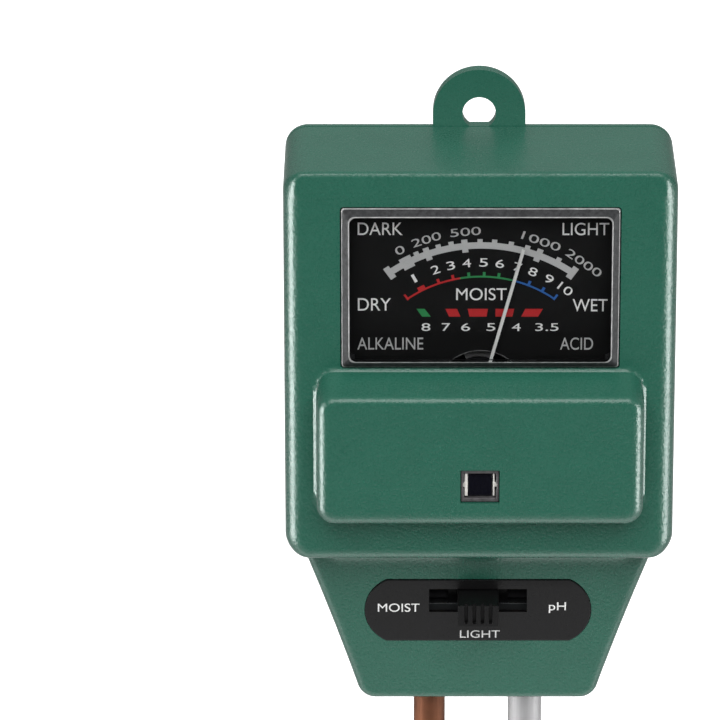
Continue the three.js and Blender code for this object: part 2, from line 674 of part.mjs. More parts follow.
function caseParts() {
  const parts = new THREE.Group();
  parts.add(
    mesh('front_shell', frontShell(), MATERIALS.greenPlastic),
    mesh('rear_cover', rearCover(), MATERIALS.greenPlastic),
    mesh('window_lens', windowLens(), MATERIALS.clearPlastic),
    mesh('dial_plate', dialPlate(), MATERIALS.dialBlack),
  );
  const names = ['upper_left', 'upper_right', 'lower_left', 'lower_right'];
  names.forEach((name, i) => parts.add(coverScrew(`cover_screw_${name}`, COVER_SCREW_PLACES[i])));
  return parts;
}

// ---- Movement: z is measured from the pivot line ----

function movementFrame() {
  const { halfWidth, z0, z1, frontY, backY } = FRAME_PLATE;
  const bore = RING_OUTER_R + FIT_GAP;
  const [bridgeFront, bridgeBack] = REAR_BRIDGE_Y;
  const body = join(
    box(-halfWidth, halfWidth, frontY, backY, z0, z1),
    rodY(COLLAR_R, frontY + SEAT_GAP, bridgeBack, 0, 0, 28),
  );
  const room = rodY(bore, frontY - 1, bridgeFront, 0, 0, 28);
  const backOpenings = [[REAR_STRAP_HALF_HEIGHT, COLLAR_R + 1], [-COLLAR_R - 1, -REAR_STRAP_HALF_HEIGHT]]
    .map(([low, high]) => box(-RING_INNER_R, RING_INNER_R, bridgeFront - 1, bridgeBack + 1, low, high));
  const screwHoles = SIDES.flatMap((s) => [
    rodY(MOVEMENT_SCREW_HOLE_R, frontY - 1, backY + 1, s * MOVEMENT_SCREW_X, MOVEMENT_SCREW_Z, 12),
    rodY(BRIDGE_PILOT_R, frontY - 1, backY + 1, s * BRIDGE_SCREW_X, 0, 10),
  ]);
  const jewelHole = rodY(JEWEL_R + FIT_GAP, bridgeFront - 1, bridgeBack + 1);
  return cut(body, room, ...backOpenings, ...screwHoles, jewelHole);
}

function poleRing() {
  const [y0, y1] = RING_Y;
  return cut(rodY(RING_OUTER_R, y0, y1, 0, 0, 28), rodY(RING_INNER_R, y0 - 1, y1 + 1, 0, 0, 28));
}

// One of the two webs that hold the core magnet in the pole ring, above (1) or below (-1) the pivot.
function magnetClip(side) {
  const inner = MAGNET_R + CLIP_GAP;
  const outer = RING_INNER_R - CLIP_GAP;
  const middle = side * Math.PI / 2;
  const shape = new THREE.Shape();
  shape.absarc(0, 0, outer, middle - CLIP_HALF_ANGLE, middle + CLIP_HALF_ANGLE, false);
  shape.absarc(0, 0, inner, middle + CLIP_HALF_ANGLE, middle - CLIP_HALF_ANGLE, true);
  return alongY(shape, MAGNET_Y[0] + CLIP_INSET, MAGNET_Y[1] - CLIP_INSET, 4);
}

function coilWinding() {
  const { outerR, innerR, halfWidth, frontY, backY } = COIL;
  const t = outerR - innerR;
  return cut(
    box(-outerR, outerR, frontY, backY, -halfWidth, halfWidth),
    box(-innerR, innerR, frontY + t, backY - t, -halfWidth - 1, halfWidth + 1),
  );
}

function frontPivot() {
  const base = COIL.frontY - SEAT_GAP;
  return latheY([
    [0, JEWEL_SEAT_Y.front - PIVOT_POINT],
    [ARBOR_R, JEWEL_SEAT_Y.front],
    [ARBOR_R, FRONT_SPRING_Y - FIT_GAP],
    [COLLET_R, FRONT_SPRING_Y - FIT_GAP],
    [COLLET_R, FRONT_SPRING_Y + COLLET_LENGTH],
    [ARBOR_R, FRONT_SPRING_Y + COLLET_LENGTH],
    [ARBOR_R, base - PIVOT_BASE_THICKNESS],
    [PIVOT_BASE_R, base - PIVOT_BASE_THICKNESS],
    [PIVOT_BASE_R, base],
    [0, base],
  ], 12);
}

function rearPivot() {
  const base = COIL.backY + SEAT_GAP;
  return latheY([
    [0, base],
    [PIVOT_BASE_R, base],
    [PIVOT_BASE_R, base + PIVOT_BASE_THICKNESS],
    [COLLET_R, base + PIVOT_BASE_THICKNESS],
    [COLLET_R, REAR_SPRING_Y + COLLET_LENGTH],
    [ARBOR_R, REAR_SPRING_Y + COLLET_LENGTH],
    [ARBOR_R, JEWEL_SEAT_Y.rear],
    [0, JEWEL_SEAT_Y.rear + PIVOT_POINT],
  ], 12);
}

// A slotted bearing screw whose cup faces the pivot: outward is -1 in front and 1 at the back.
function jewelScrew(seatY, outward) {
  const { cupR, cupDepth, length, slotDepth, slotHalfWidth } = JEWEL_SCREW;
  const profile = [
    [0, cupDepth],
    [cupR, 0],
    [JEWEL_R, 0],
    [JEWEL_R, length],
    [0, length],
  ];
  const reach = JEWEL_R + 1;
  const slot = box(-reach, reach, length - slotDepth, length + 1, -slotHalfWidth, slotHalfWidth);
  const body = cut(latheY(profile, 14), slot);
  const shape = geometryOf(body);
  if (outward < 0) shape.rotateX(Math.PI);
  return shape.translate(0, seatY, 0);
}

// A flat spiral strip, drawn out along one side and back along the other.
function hairspring() {
  const steps = SPRING_TURNS * 14;
  const half = SPRING_THICKNESS / 2;
  const pitch = (SPRING_OUTER_R - SPRING_INNER_R) / steps;
  const turn = (2 * Math.PI * SPRING_TURNS) / steps;
  const side = (offset) => Array.from({ length: steps + 1 }, (_, i) => {
    const r = SPRING_INNER_R + pitch * i + offset;
    return [r * Math.sin(turn * i), r * Math.cos(turn * i)];
  });
  return polygon([...side(half), ...side(-half).reverse()]);
}

function pointer() {
  const root = POINTER_ROOT_HALF_WIDTH;
  const tip = POINTER_TIP_HALF_WIDTH;
  const blade = polygon([
    [-root, -POINTER_TAIL],
    [root, -POINTER_TAIL],
    [root, POINTER_HUB_R],
    [tip, POINTER_TAPER_END],
    [tip, POINTER_LENGTH],
    [-tip, POINTER_LENGTH],
    [-tip, POINTER_TAPER_END],
    [-root, POINTER_HUB_R],
  ]);
  const [y0, y1] = POINTER_Y;
  return cut(
    join(alongY(blade, y0, y1), rodY(POINTER_HUB_R, y0, y1)),
    rodY(ARBOR_R + FIT_GAP / 2, y0 - 1, y1 + 1, 0, 0, 12),
  );
}

// A wound wire weight slipped over the pointer's tail.
function balanceWeight() {
  const y = (POINTER_Y[0] + POINTER_Y[1]) / 2;
  const { r, boreR, z0, z1 } = WEIGHT;
  return cut(rodZ(r, z0, z1, 0, y, 14), rodZ(boreR, z0 - 1, z1 + 1, 0, y, 14));
}

function frontBridge() {
  const [y0, y1] = BRIDGE_Y;
  const [leg0, leg1] = BRIDGE_LEG_X;
  const footY = FRAME_PLATE.frontY - SEAT_GAP;
  const footFront = footY - BRIDGE_FOOT_THICKNESS;
  const strap = polygon([
    [leg0, footY],
    [BRIDGE_FOOT_X, footY],
    [BRIDGE_FOOT_X, footFront],
    [leg1, footFront],
    [leg1, y0],
    [-leg1, y0],
    [-leg1, footFront],
    [-BRIDGE_FOOT_X, footFront],
    [-BRIDGE_FOOT_X, footY],
    [-leg0, footY],
    [-leg0, y1],
    [leg0, y1],
  ]);
  const holes = SIDES.map((s) => rodY(BRIDGE_HOLE_R, footFront - 1, footY + 1, s * BRIDGE_SCREW_X, 0, 10));
  return cut(
    join(alongZ(strap, -BRIDGE_HALF_HEIGHT, BRIDGE_HALF_HEIGHT), rodY(BRIDGE_EYE_R, y0, y1)),
    rodY(JEWEL_R + FIT_GAP / 2, y0 - 1, y1 + 1),
    ...holes,
  );
}

// The lever that shifts the front hairspring's outer end to set the needle's zero.
function zeroAdjuster() {
  const { ringR, frontY, backY, armHalfWidth, armEndZ } = ADJUSTER;
  const { halfWidth, thickness, backY: postBackY } = ADJUSTER_POST;
  const eye = rodY(JEWEL_R + FIT_GAP, frontY - 1, backY + 1, 0, 0, 14);
  const ring = cut(rodY(ringR, frontY, backY, 0, 0, 18), eye);
  const arm = box(-armHalfWidth, armHalfWidth, frontY, backY, armEndZ, -JEWEL_R - armHalfWidth);
  const post = box(-halfWidth, halfWidth, backY - FIT_GAP, postBackY, armEndZ, armEndZ + thickness);
  return join(ring, arm, post);
}

function bridgeScrew(name, side) {
  const made = mesh(name, screw(BRIDGE_SCREW), MATERIALS.steel);
  made.rotation.x = Math.PI;
  made.position.set(side * BRIDGE_SCREW_X, FRAME_PLATE.frontY - BRIDGE_FOOT_THICKNESS - FIT_GAP, 0);
  return made;
}

function movementScrew(name, side) {
  const made = mesh(name, screw(MOVEMENT_SCREW), MATERIALS.steel);
  made.position.set(side * MOVEMENT_SCREW_X, FRAME_PLATE.backY + SEAT_GAP, MOVEMENT_SCREW_Z);
  return made;
}

function needleParts() {
  const parts = new THREE.Group();
  const springs = [FRONT_SPRING_Y, REAR_SPRING_Y].map((y) => alongY(hairspring(), y, y + SPRING_WIDTH));
  parts.add(
    mesh('coil_winding', coilWinding(), MATERIALS.enamelledWire),
    mesh('pivot_front', frontPivot(), MATERIALS.steel),
    mesh('pivot_rear', rearPivot(), MATERIALS.steel),
    mesh('pointer', pointer(), MATERIALS.whitePaint),
    mesh('balance_weight', balanceWeight(), MATERIALS.brass),
    mesh('hairspring_front', springs[0], MATERIALS.springBronze),
    mesh('hairspring_rear', springs[1], MATERIALS.springBronze),
  );
  parts.rotation.y = REST_ANGLE;
  return parts;
}

function movementParts() {
  const parts = new THREE.Group();
  parts.add(
    mesh('movement_frame', movementFrame(), MATERIALS.frameResin),
    mesh('pole_ring', poleRing(), MATERIALS.blackIron),
    mesh('core_magnet', rodY(MAGNET_R, ...MAGNET_Y, 0, 0, 24), MATERIALS.magnet),
    mesh('magnet_clip_upper', magnetClip(1), MATERIALS.aluminium),
    mesh('magnet_clip_lower', magnetClip(-1), MATERIALS.aluminium),
    mesh('front_bridge', frontBridge(), MATERIALS.brass),
    mesh('jewel_screw_front', jewelScrew(JEWEL_SEAT_Y.front, -1), MATERIALS.brass),
    mesh('jewel_screw_rear', jewelScrew(JEWEL_SEAT_Y.rear, 1), MATERIALS.brass),
    mesh('zero_adjuster', zeroAdjuster(), MATERIALS.brass),
    bridgeScrew('bridge_screw_left', -1),
    bridgeScrew('bridge_screw_right', 1),
    movementScrew('movement_screw_left', -1),
    movementScrew('movement_screw_right', 1),
    needleParts(),
  );
  parts.position.z = PIVOT_Z;
  return parts;
}

// ---- Light cell: z is measured from the cell's middle, y from the brow's face ----

// A box centred on x and z = 0, with half sizes w and h.
function centredBox(w, y0, y1, h, x = 0) {
  return box(x - w, x + w, y0, y1, -h, h);
}

function cellHolder() {
  const seatY = WALL + FIT_GAP;
  const flangeBackY = seatY + CELL_FLANGE.thickness;
  const tray = centredBox(CELL_TRAY.halfWidth, CELL_TRAY.frontY, seatY + FIT_GAP, CELL_TRAY.halfHeight);
  const flange = centredBox(CELL_FLANGE.halfWidth, seatY, flangeBackY, CELL_FLANGE.halfHeight);
  const pocket = centredBox(CELL_POCKET.halfWidth, 0, CELL_CHIP.backY + SEAT_GAP, CELL_POCKET.halfHeight);
  const slotHalfWidth = CONTACT_LEG.halfWidth + LEG_SLOT_GAP;
  const slotHalfHeight = CONTACT_LEG.halfHeight + LEG_SLOT_GAP;
  const legSlots = SIDES.map((s) =>
    centredBox(slotHalfWidth, 0, CONTACT_LEG.backY, slotHalfHeight, s * CONTACT.x));
  return cut(join(tray, flange), pocket, ...legSlots);
}

function cellContact(side) {
  const { x, halfWidth, halfHeight, frontY, backY } = CONTACT;
  const strip = centredBox(halfWidth, frontY, backY, halfHeight, side * x);
  const leg = centredBox(
    CONTACT_LEG.halfWidth, backY - FIT_GAP, CONTACT_LEG.backY, CONTACT_LEG.halfHeight, side * x);
  return join(strip, leg);
}

function cellParts() {
  const { halfWidth, halfHeight, frontY, backY } = CELL_CHIP;
  const parts = new THREE.Group();
  parts.add(
    mesh('photocell_holder', cellHolder(), MATERIALS.blackPlastic),
    mesh('photocell_chip', centredBox(halfWidth, frontY, backY, halfHeight), MATERIALS.silicon),
    mesh('photocell_contact_left', cellContact(-1), MATERIALS.steel),
    mesh('photocell_contact_right', cellContact(1), MATERIALS.steel),
  );
  parts.position.set(0, BROW_FRONT_Y, CELL_Z);
  return parts;
}

// ---- Slide switch and its board: in the plane of the neck's front ----

function switchPlate() {
  const [y0, y1] = PLATE_Y;
  const half = SLOT_HALF_HEIGHT;
  const slot = box(-SLOT_HALF_LENGTH, SLOT_HALF_LENGTH, y0 - 1, y1 + 1, SWITCH_Z - half, SWITCH_Z + half);
  return cut(alongY(plateShape(0), y0, y1, 8), slot);
}

// A pressed box open at the back, with a slot for the knob and two ears.
function switchFrame() {
  const { halfWidth, halfHeight, frontY, backY, sheet } = SWITCH_FRAME;
  const tub = cut(
    centredBox(halfWidth, frontY, backY, halfHeight),
    centredBox(halfWidth - sheet, frontY + sheet, backY + 1, halfHeight - sheet),
  );
  const ears = centredBox(SWITCH_EAR_X, frontY, frontY + sheet, SWITCH_EAR_HALF_HEIGHT);
  const slot = centredBox(SLOT_HALF_LENGTH, frontY - 1, frontY + sheet + SEAT_GAP, SLOT_HALF_HEIGHT);
  const holes = SIDES.map((s) =>
    rodY(SWITCH_SCREW_HOLE_R, frontY - 1, frontY + 1, s * SWITCH_SCREW_X, 0, 12));
  return cut(join(tub, ears), slot, ...holes);
}

function pinPlaces() {
  return Array.from({ length: PIN_COUNT }, (_, i) => (i - (PIN_COUNT - 1) / 2) * PIN_PITCH);
}

function pinHoles(y0, y1) {
  const [gapX, gapZ] = PIN_HOLE_GAP;
  return pinPlaces().map((x) => centredBox(PIN_LEG.halfWidth + gapX, y0, y1, PIN_LEG.halfHeight + gapZ, x));
}

function switchBase() {
  const { halfWidth, halfHeight, frontY, backY } = SWITCH_BASE;
  return cut(centredBox(halfWidth, frontY, backY, halfHeight), ...pinHoles(frontY - 1, backY + 1));
}

// A riveted pin: the contact pad inside the switch and the leg through the base and the board.
function switchPin(x) {
  return join(
    centredBox(PIN_PAD.halfWidth, PIN_PAD.frontY, PIN_PAD.backY, PIN_PAD.halfHeight, x),
    centredBox(PIN_LEG.halfWidth, PIN_PAD.frontY + FIT_GAP, PIN_LEG.backY, PIN_LEG.halfHeight, x),
  );
}

// The knob: a ribbed cap outside, a stem through the slot and a carriage inside the frame.
function switchKnob() {
  const carriage = centredBox(CARRIAGE.halfWidth, CARRIAGE.frontY, CARRIAGE.backY, CARRIAGE.halfHeight);
  const stem = centredBox(KNOB_HALF_WIDTH, -KNOB_REACH, CARRIAGE.frontY + FIT_GAP, KNOB_HALF_HEIGHT);
  const pitch = (2 * KNOB_HALF_WIDTH) / (KNOB_GROOVES + 1);
  const grooves = Array.from({ length: KNOB_GROOVES }, (_, i) => {
    const x = (i - (KNOB_GROOVES - 1) / 2) * pitch;
    const { halfWidth, depth, bottomZ } = GROOVE;
    const floorY = depth - KNOB_REACH;
    return box(x - halfWidth, x + halfWidth, -KNOB_REACH - 1, floorY, bottomZ, KNOB_HALF_HEIGHT + 1);
  });
  return cut(join(carriage, stem), ...grooves);
}

// The spring strip that bridges two neighbouring pins.
function switchContact() {
  const strip = polygon([
    [-3, 5.1], [3, 5.1], [3, 5.4], [2.6, 5.4], [2.3, 6.2], [1.9, 6.2], [1.6, 5.4],
    [-1.6, 5.4], [-1.9, 6.2], [-2.3, 6.2], [-2.6, 5.4], [-3, 5.4],
  ]);
  return alongZ(strip, -0.6, 0.6);
}

function switchScrew(name, side) {
  const made = mesh(name, screw(SWITCH_SCREW), MATERIALS.steel);
  made.position.set(side * SWITCH_SCREW_X, SWITCH_FRAME.frontY + SWITCH_FRAME.sheet + SEAT_GAP, 0);
  return made;
}

function circuitBoard() {
  const { halfWidth, z0, z1, frontY, backY } = BOARD;
  return cut(
    box(-halfWidth, halfWidth, frontY, backY, z0 - SWITCH_Z, z1 - SWITCH_Z),
    ...pinHoles(frontY - 1, backY + 1),
  );
}

function resistor() {
  const { r, length, standoff, leadHalfLength, leadHalf } = RESISTOR;
  const y = BOARD.frontY - standoff;
  const body = new THREE.CylinderGeometry(r, r, length, 12).rotateZ(Math.PI / 2).translate(0, y, 0);
  const lead = centredBox(leadHalfLength, y - leadHalf, y + leadHalf, leadHalf);
  const legs = SIDES.map((s) =>
    centredBox(leadHalf, y, BOARD.frontY - SEAT_GAP, leadHalf, s * (leadHalfLength - leadHalf)));
  return join(body, lead, ...legs);
}

function resistorPart(name, z) {
  const made = mesh(name, resistor(), MATERIALS.resistorBody);
  made.position.z = z - SWITCH_Z;
  return made;
}

function switchParts() {
  const body = new THREE.Group();
  body.add(
    mesh('switch_frame', switchFrame(), MATERIALS.blackIron),
    mesh('switch_base', switchBase(), MATERIALS.blackPlastic),
    mesh('switch_knob', switchKnob(), MATERIALS.blackPlastic),
    mesh('switch_contact', switchContact(), MATERIALS.springBronze),
    mesh('circuit_board', circuitBoard(), MATERIALS.phenolic),
    switchScrew('switch_screw_left', -1),
    switchScrew('switch_screw_right', 1),
    resistorPart('resistor_lower', RESISTOR_PLACES[0]),
    resistorPart('resistor_upper', RESISTOR_PLACES[1]),
  );
  pinPlaces().forEach((x, i) => body.add(mesh(`switch_pin_${i + 1}`, switchPin(x), MATERIALS.brass)));
  body.position.z = SWITCH_Z;
  const parts = new THREE.Group();
  parts.add(mesh('switch_plate', switchPlate(), MATERIALS.blackPlastic), body);
  parts.applyMatrix4(neckMatrix);
  return parts;
}

// ---- Probes ----

// A pointed rod with a shoulder and a stud that passes up through the carrier.
function probe(radius) {
  return latheY([
    [0, PROBE_TIP_Z],
    [radius * PROBE_TIP_WIDTH, PROBE_TIP_Z + PROBE_TIP_LENGTH],
    [radius, PROBE_TIP_Z + PROBE_POINT],
    [radius, SHOULDER_TOP_Z],
    [STUD_R, SHOULDER_TOP_Z],
    [STUD_R, STUD_TOP_Z - STUD_CHAMFER],
    [STUD_R - STUD_CHAMFER, STUD_TOP_Z],
    [0, STUD_TOP_Z],
  ], 20).rotateX(Math.PI / 2);
}

function probeCarrier() {
  const { halfWidth, halfDepth, z0, z1, cornerR, boreGap } = CARRIER;
  const r = [cornerR, cornerR, cornerR, cornerR];
  const block = alongZ(roundedRect(-halfWidth, halfWidth, -halfDepth, halfDepth, r), z0, z1, 3);
  const seatZ = SHOULDER_TOP_Z + FIT_GAP / 2;
  return cut(
    block,
    rodZ(COPPER_R + boreGap, z0 - 1, seatZ, -PROBE_X, 0, 20),
    rodZ(ALUMINIUM_R + boreGap, z0 - 1, seatZ, PROBE_X, 0, 20),
    rodZ(STUD_R + boreGap, z0, z1 + 1, -PROBE_X),
    rodZ(STUD_R + boreGap, z0, z1 + 1, PROBE_X),
  );
}

function ringTerminal(side) {
  const { r, z0, z1, tabHalfWidth, tabEndX, tabRootX } = TERMINAL;
  const [left, right] = side < 0 ? [-tabRootX, -tabEndX] : [tabEndX, tabRootX];
  const tab = box(left, right, -tabHalfWidth, tabHalfWidth, z0, z1);
  const ring = rodZ(r, z0, z1, side * PROBE_X, 0, 18);
  return cut(join(ring, tab), rodZ(STUD_R + STUD_GAP, z0 - 1, z1 + 1, side * PROBE_X));
}

function nut() {
  const { r, z0, z1 } = NUT;
  return cut(rodZ(r, z0, z1, 0, 0, 6), rodZ(STUD_R + STUD_GAP, z0 - 1, z1 + 1));
}

function nutPart(name, x) {
  const made = mesh(name, nut(), MATERIALS.brass);
  made.position.x = x;
  return made;
}

function probePart(name, x, radius, finish) {
  const made = mesh(name, probe(radius), finish);
  made.position.x = x;
  return made;
}

function probeParts() {
  const parts = new THREE.Group();
  parts.add(
    probePart('probe_copper', -PROBE_X, COPPER_R, MATERIALS.copper),
    probePart('probe_aluminium', PROBE_X, ALUMINIUM_R, MATERIALS.aluminium),
    mesh('probe_carrier', probeCarrier(), MATERIALS.blackPlastic),
    mesh('probe_terminal_left', ringTerminal(-1), MATERIALS.steel),
    mesh('probe_terminal_right', ringTerminal(1), MATERIALS.steel),
    nutPart('probe_nut_left', -PROBE_X),
    nutPart('probe_nut_right', PROBE_X),
  );
  return parts;
}

// ---- Wires ----

// From a probe's ring terminal up to a switch pin.
function probeWire(side) {
  return wire([
    [side * 2.6, 0.2, 10.1],
    [side * 2.8, 2, 11.4],
    [side * 3.6, 3.5, 14.8],
    [side * 4.2, 3.7, 17],
    [side * 4.2, 3.3, 20],
  ]);
}

// From the light cell down to the circuit board.
function cellWire(side) {
  return wire([
    [side * 2.6, -19, CELL_Z],
    [side * 5, -14, 43],
    [side * 9, -8, 38],
    [side * 10, -3, 32],
    [side * 9.6, 0.1, 28],
  ]);
}

// From the movement frame down to the circuit board.
function meterWire(side) {
  return wire([
    [side * 12.6, -10.8, 48],
    [side * 12.6, -7, 43],
    [side * 9, -3, 36],
    [side * 6.6, 0, 29],
  ]);
}

function wireParts() {
  const parts = new THREE.Group();
  parts.add(
    mesh('wire_probe_left', probeWire(-1), MATERIALS.redInsulation),
    mesh('wire_probe_right', probeWire(1), MATERIALS.blackInsulation),
    mesh('wire_cell_left', cellWire(-1), MATERIALS.redInsulation),
    mesh('wire_cell_right', cellWire(1), MATERIALS.blackInsulation),
    mesh('wire_meter_left', meterWire(-1), MATERIALS.redInsulation),
    mesh('wire_meter_right', meterWire(1), MATERIALS.blackInsulation),
  );
  return parts;
}

const soilMeter = new THREE.Group();
soilMeter.add(caseParts(), movementParts(), cellParts(), switchParts(), probeParts(), wireParts());

export default soilMeter;
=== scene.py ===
"""The looks of a three-way soil meter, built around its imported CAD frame.

Helpers take millimetres and make objects in metres. +Z is up, -Y is the dial side, and the origin
is the middle of the case's flat bottom, between the probes.
"""

import json
import math

import bmesh
import bpy
import numpy as np
from mathutils import Matrix, Vector

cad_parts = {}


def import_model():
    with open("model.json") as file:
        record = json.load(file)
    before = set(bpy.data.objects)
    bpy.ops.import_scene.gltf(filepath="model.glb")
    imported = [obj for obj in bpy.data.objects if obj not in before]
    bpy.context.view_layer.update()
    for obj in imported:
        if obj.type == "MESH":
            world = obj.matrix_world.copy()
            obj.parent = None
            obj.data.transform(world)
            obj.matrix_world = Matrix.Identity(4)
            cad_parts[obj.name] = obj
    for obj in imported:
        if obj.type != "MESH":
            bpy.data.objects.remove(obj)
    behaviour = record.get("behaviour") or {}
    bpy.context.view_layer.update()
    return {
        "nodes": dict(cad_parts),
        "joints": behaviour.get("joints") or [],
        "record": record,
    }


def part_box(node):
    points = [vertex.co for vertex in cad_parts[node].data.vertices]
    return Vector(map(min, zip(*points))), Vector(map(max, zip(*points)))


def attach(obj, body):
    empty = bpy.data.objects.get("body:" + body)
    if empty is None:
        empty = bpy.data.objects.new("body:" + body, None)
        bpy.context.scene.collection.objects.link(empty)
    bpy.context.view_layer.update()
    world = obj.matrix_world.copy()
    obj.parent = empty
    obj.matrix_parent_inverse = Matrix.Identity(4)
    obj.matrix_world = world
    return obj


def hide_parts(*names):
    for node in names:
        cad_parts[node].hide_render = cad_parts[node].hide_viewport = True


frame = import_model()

MM = 0.001

# Distances for merging points, in metres
LETTER_WELD = 5e-7
LETTER_SLIVER = 1e-6
SEAM_WELD = 2e-6

# ---- Places taken from the CAD frame, mm ----


def node_box(name):
    """The lowest and highest corner of a CAD node, in millimetres."""
    low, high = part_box(name)
    return np.array(low) / MM, np.array(high) / MM


SHELL_LOW, SHELL_HIGH = node_box("front_shell")
COVER_HIGH = node_box("rear_cover")[1]
LENS_LOW, LENS_HIGH = node_box("window_lens")
DIAL_LOW = node_box("dial_plate")[0]
COPPER_LOW, COPPER_HIGH = node_box("probe_copper")
ALUMINIUM_LOW, ALUMINIUM_HIGH = node_box("probe_aluminium")
CHIP_LOW, CHIP_HIGH = node_box("photocell_chip")
NEEDLE_JOINT = next(j for j in frame["joints"] if j["child"] == "needle")

CASE_HALF_WIDTH = SHELL_HIGH[0]
CASE_TOP_Z = SHELL_HIGH[2]
PARTING_Y = SHELL_HIGH[1]
BACK_Y = COVER_HIGH[1]
BROW_FRONT_Y = SHELL_LOW[1]
PIVOT_Z = NEEDLE_JOINT["pos_m"][2] / MM
DIAL_FACE_Y = DIAL_LOW[1]
FLOOR_Z = COPPER_LOW[2]

# ---- Case form ----

SHOULDER_Z = 29.65
FRONT_Y = -17.5
WALL = 2.0
TOP_CORNER_R = 3.8
BOTTOM_CORNER_R = 4.2
SIDE_EDGE_R = 3.1
TOP_EDGE_R = 0.6
SHOULDER_EDGE_R = 2.0
BACK_EDGE_R = 1.4
EDGE_BLEND = 6
PARTING_GAP = 0.3
HOLLOW_PAST_PARTING = 1

NECK_FOOT_Y = -6.33
NECK_TILT = math.radians(4)
# At the foot, and how it grows with height and with height squared
NECK_HALF_WIDTH = (19.55, 0.3165, 0.00113)
NECK_CORNER_R = 2.0
NECK_SIDE_EDGE_R = 1.5
NECK_FOOT_EDGE_R = 0.8
NECK_FILLET_R = 4.5
NECK_FILLET_SIDE_R = 0.4
NECK_FILLET_BLEND = 5
NECK_OVERLAP = 3

BROW_HALF_WIDTH = 26.75
BROW_BOTTOM_Z = 38.7
BROW_TOP_Z = 63.4
BROW_SLOPE = 2.4 / 7
BROW_CORNER_R = 3.0
BROW_SIDE_EDGE_R = 2.2
BROW_TOP_EDGE_R = 0.7
BROW_BOTTOM_EDGE_R = 2.0
BROW_ROOT_R = 0.12
BROW_OVERLAP = 4

LUG_Z = 99.6
LUG_R = 7.65
LUG_HOLE_Z = 99.75
LUG_HOLE_R = 2.75
LUG_ROOT = 3.0
LUG_EDGE_R = 0.16

WINDOW = (-22.8, 22.8, 63.8, 91.7)
WINDOW_CORNER_R = 0.6
CELL_MIDDLE_Z = (CHIP_LOW[2] + CHIP_HIGH[2]) / 2
CELL_OPENING = (-3.2, 3.2, CELL_MIDDLE_Z - 2.9, CELL_MIDDLE_Z + 2.9)
CELL_CORNER_R = 0.15

COVER_SCREWS = ((-27.2, 92.7), (27.2, 92.7), (-16.0, 7.5), (16.0, 7.5))
COVER_BOSS_R = 2.4
COVER_PILOT_R = 1.2
COVER_PILOT_LENGTH = 12.5
COVER_HOLE_R = 1.3
COVER_SINK_R = 2.5
COVER_SINK_DEPTH = 1.4
MOVEMENT_SCREWS = ((-17.2, PIVOT_Z - 6.9), (17.2, PIVOT_Z - 6.9))
MOVEMENT_BOSS_R = 2.2
MOVEMENT_BOSS_END_Y = -13
MOVEMENT_PILOT_R = 0.95
MOVEMENT_PILOT_Y = (-19.5, -12)
PROBE_HOLE_GAP = 0.2
PROBE_HOLE_Z = (-2, 3)

# The cover's locating rim
RIM_GAP = 0.25
RIM_THICKNESS = 1.2
RIM_DEPTH = 1.7
RIM_FOOT_Z = 13.0
RIM_BOSS_ROOM_R = 2.8
RIM_REACH = 3

# The switch, in the plane of the neck's front: x across, z up the neck, -y out of it
PLATE_MIDDLE_Z = 16.75
PLATE_HALF_LENGTH = 18.95
PLATE_HALF_HEIGHT = 5.7
PLATE_END_R = 6.3
PLATE_Y = (-0.2, 0.6)
PLATE_EDGE_R = 0.15
PLATE_GAP = 0.1
PLATE_RECESS = 0.7
SWITCH_Z = 18.6
SLOT = (-8.2, 8.2, SWITCH_Z - 2.15, SWITCH_Z + 2.15)
SLOT_ROOM_ASIDE = 0.3
SLOT_ROOM_BELOW = 1
SLOT_ROOM_ABOVE = 0.6
SWITCH_SCREW_X = 12.4
SWITCH_BOSS_R = 1.8
SWITCH_BOSS_END_Y = 2.9
SWITCH_PILOT_R = 0.85
SWITCH_PILOT_END_Y = 4
KNOB_HALF_WIDTH = 3.4
KNOB_HALF_HEIGHT = 2.0
KNOB_FRONT_Y = -6.0
KNOB_RIBS = 5
GROOVE_HALF_WIDTH = 0.28
GROOVE_DEPTH = 0.7
GROOVE_BELOW = 1.4
CARRIAGE_HALF_WIDTH = 5
CARRIAGE_HALF_HEIGHT = 2.9
CARRIAGE_Y = (3.5, 5)
NECK_PLANE = Matrix.Translation((0, NECK_FOOT_Y, 0)) @ Matrix.Rotation(NECK_TILT, 4, "X")

SKIN_STEP = 0.5
HOLLOW_STEP = 1.2


# ---- Mesh helpers ----


def new_object(name, points, faces, matrix=None):
    """A mesh object from points in millimetres, moved by matrix (in millimetres) if given."""
    mesh = bpy.data.meshes.new(name)
    mesh.from_pydata([tuple(p) for p in points], [], [tuple(f) for f in faces])
    if matrix is not None:
        mesh.transform(matrix)
    mesh.transform(Matrix.Scale(MM, 4))
    made = bpy.data.objects.new(name, mesh)
    bpy.context.scene.collection.objects.link(made)
    return made


def arc(cx, cz, radius, start, end, steps):
    """Points on a circular arc; angles in degrees, anticlockwise from +x."""
    angles = np.radians(np.linspace(start, end, steps + 1))
    return [(cx + radius * math.cos(a), cz + radius * math.sin(a)) for a in angles]


def rounded_rect(x0, x1, z0, z1, r, steps=6):
    """An anticlockwise rectangle outline with rounded corners."""
    return (
        arc(x1 - r, z0 + r, r, -90, 0, steps)
        + arc(x1 - r, z1 - r, r, 0, 90, steps)
        + arc(x0 + r, z1 - r, r, 90, 180, steps)
        + arc(x0 + r, z0 + r, r, 180, 270, steps)
    )


def plate_outline(grow=0.0):
    """The switch plate's outline: straight edges, and end arcs that meet them in blunt corners."""
    run = PLATE_HALF_LENGTH - PLATE_END_R
    radius = PLATE_END_R + grow
    sweep = math.degrees(math.asin((PLATE_HALF_HEIGHT + grow) / radius))
    right = arc(run, PLATE_MIDDLE_Z, radius, -sweep, sweep, 24)
    return right + arc(-run, PLATE_MIDDLE_Z, radius, 180 - sweep, 180 + sweep, 24)


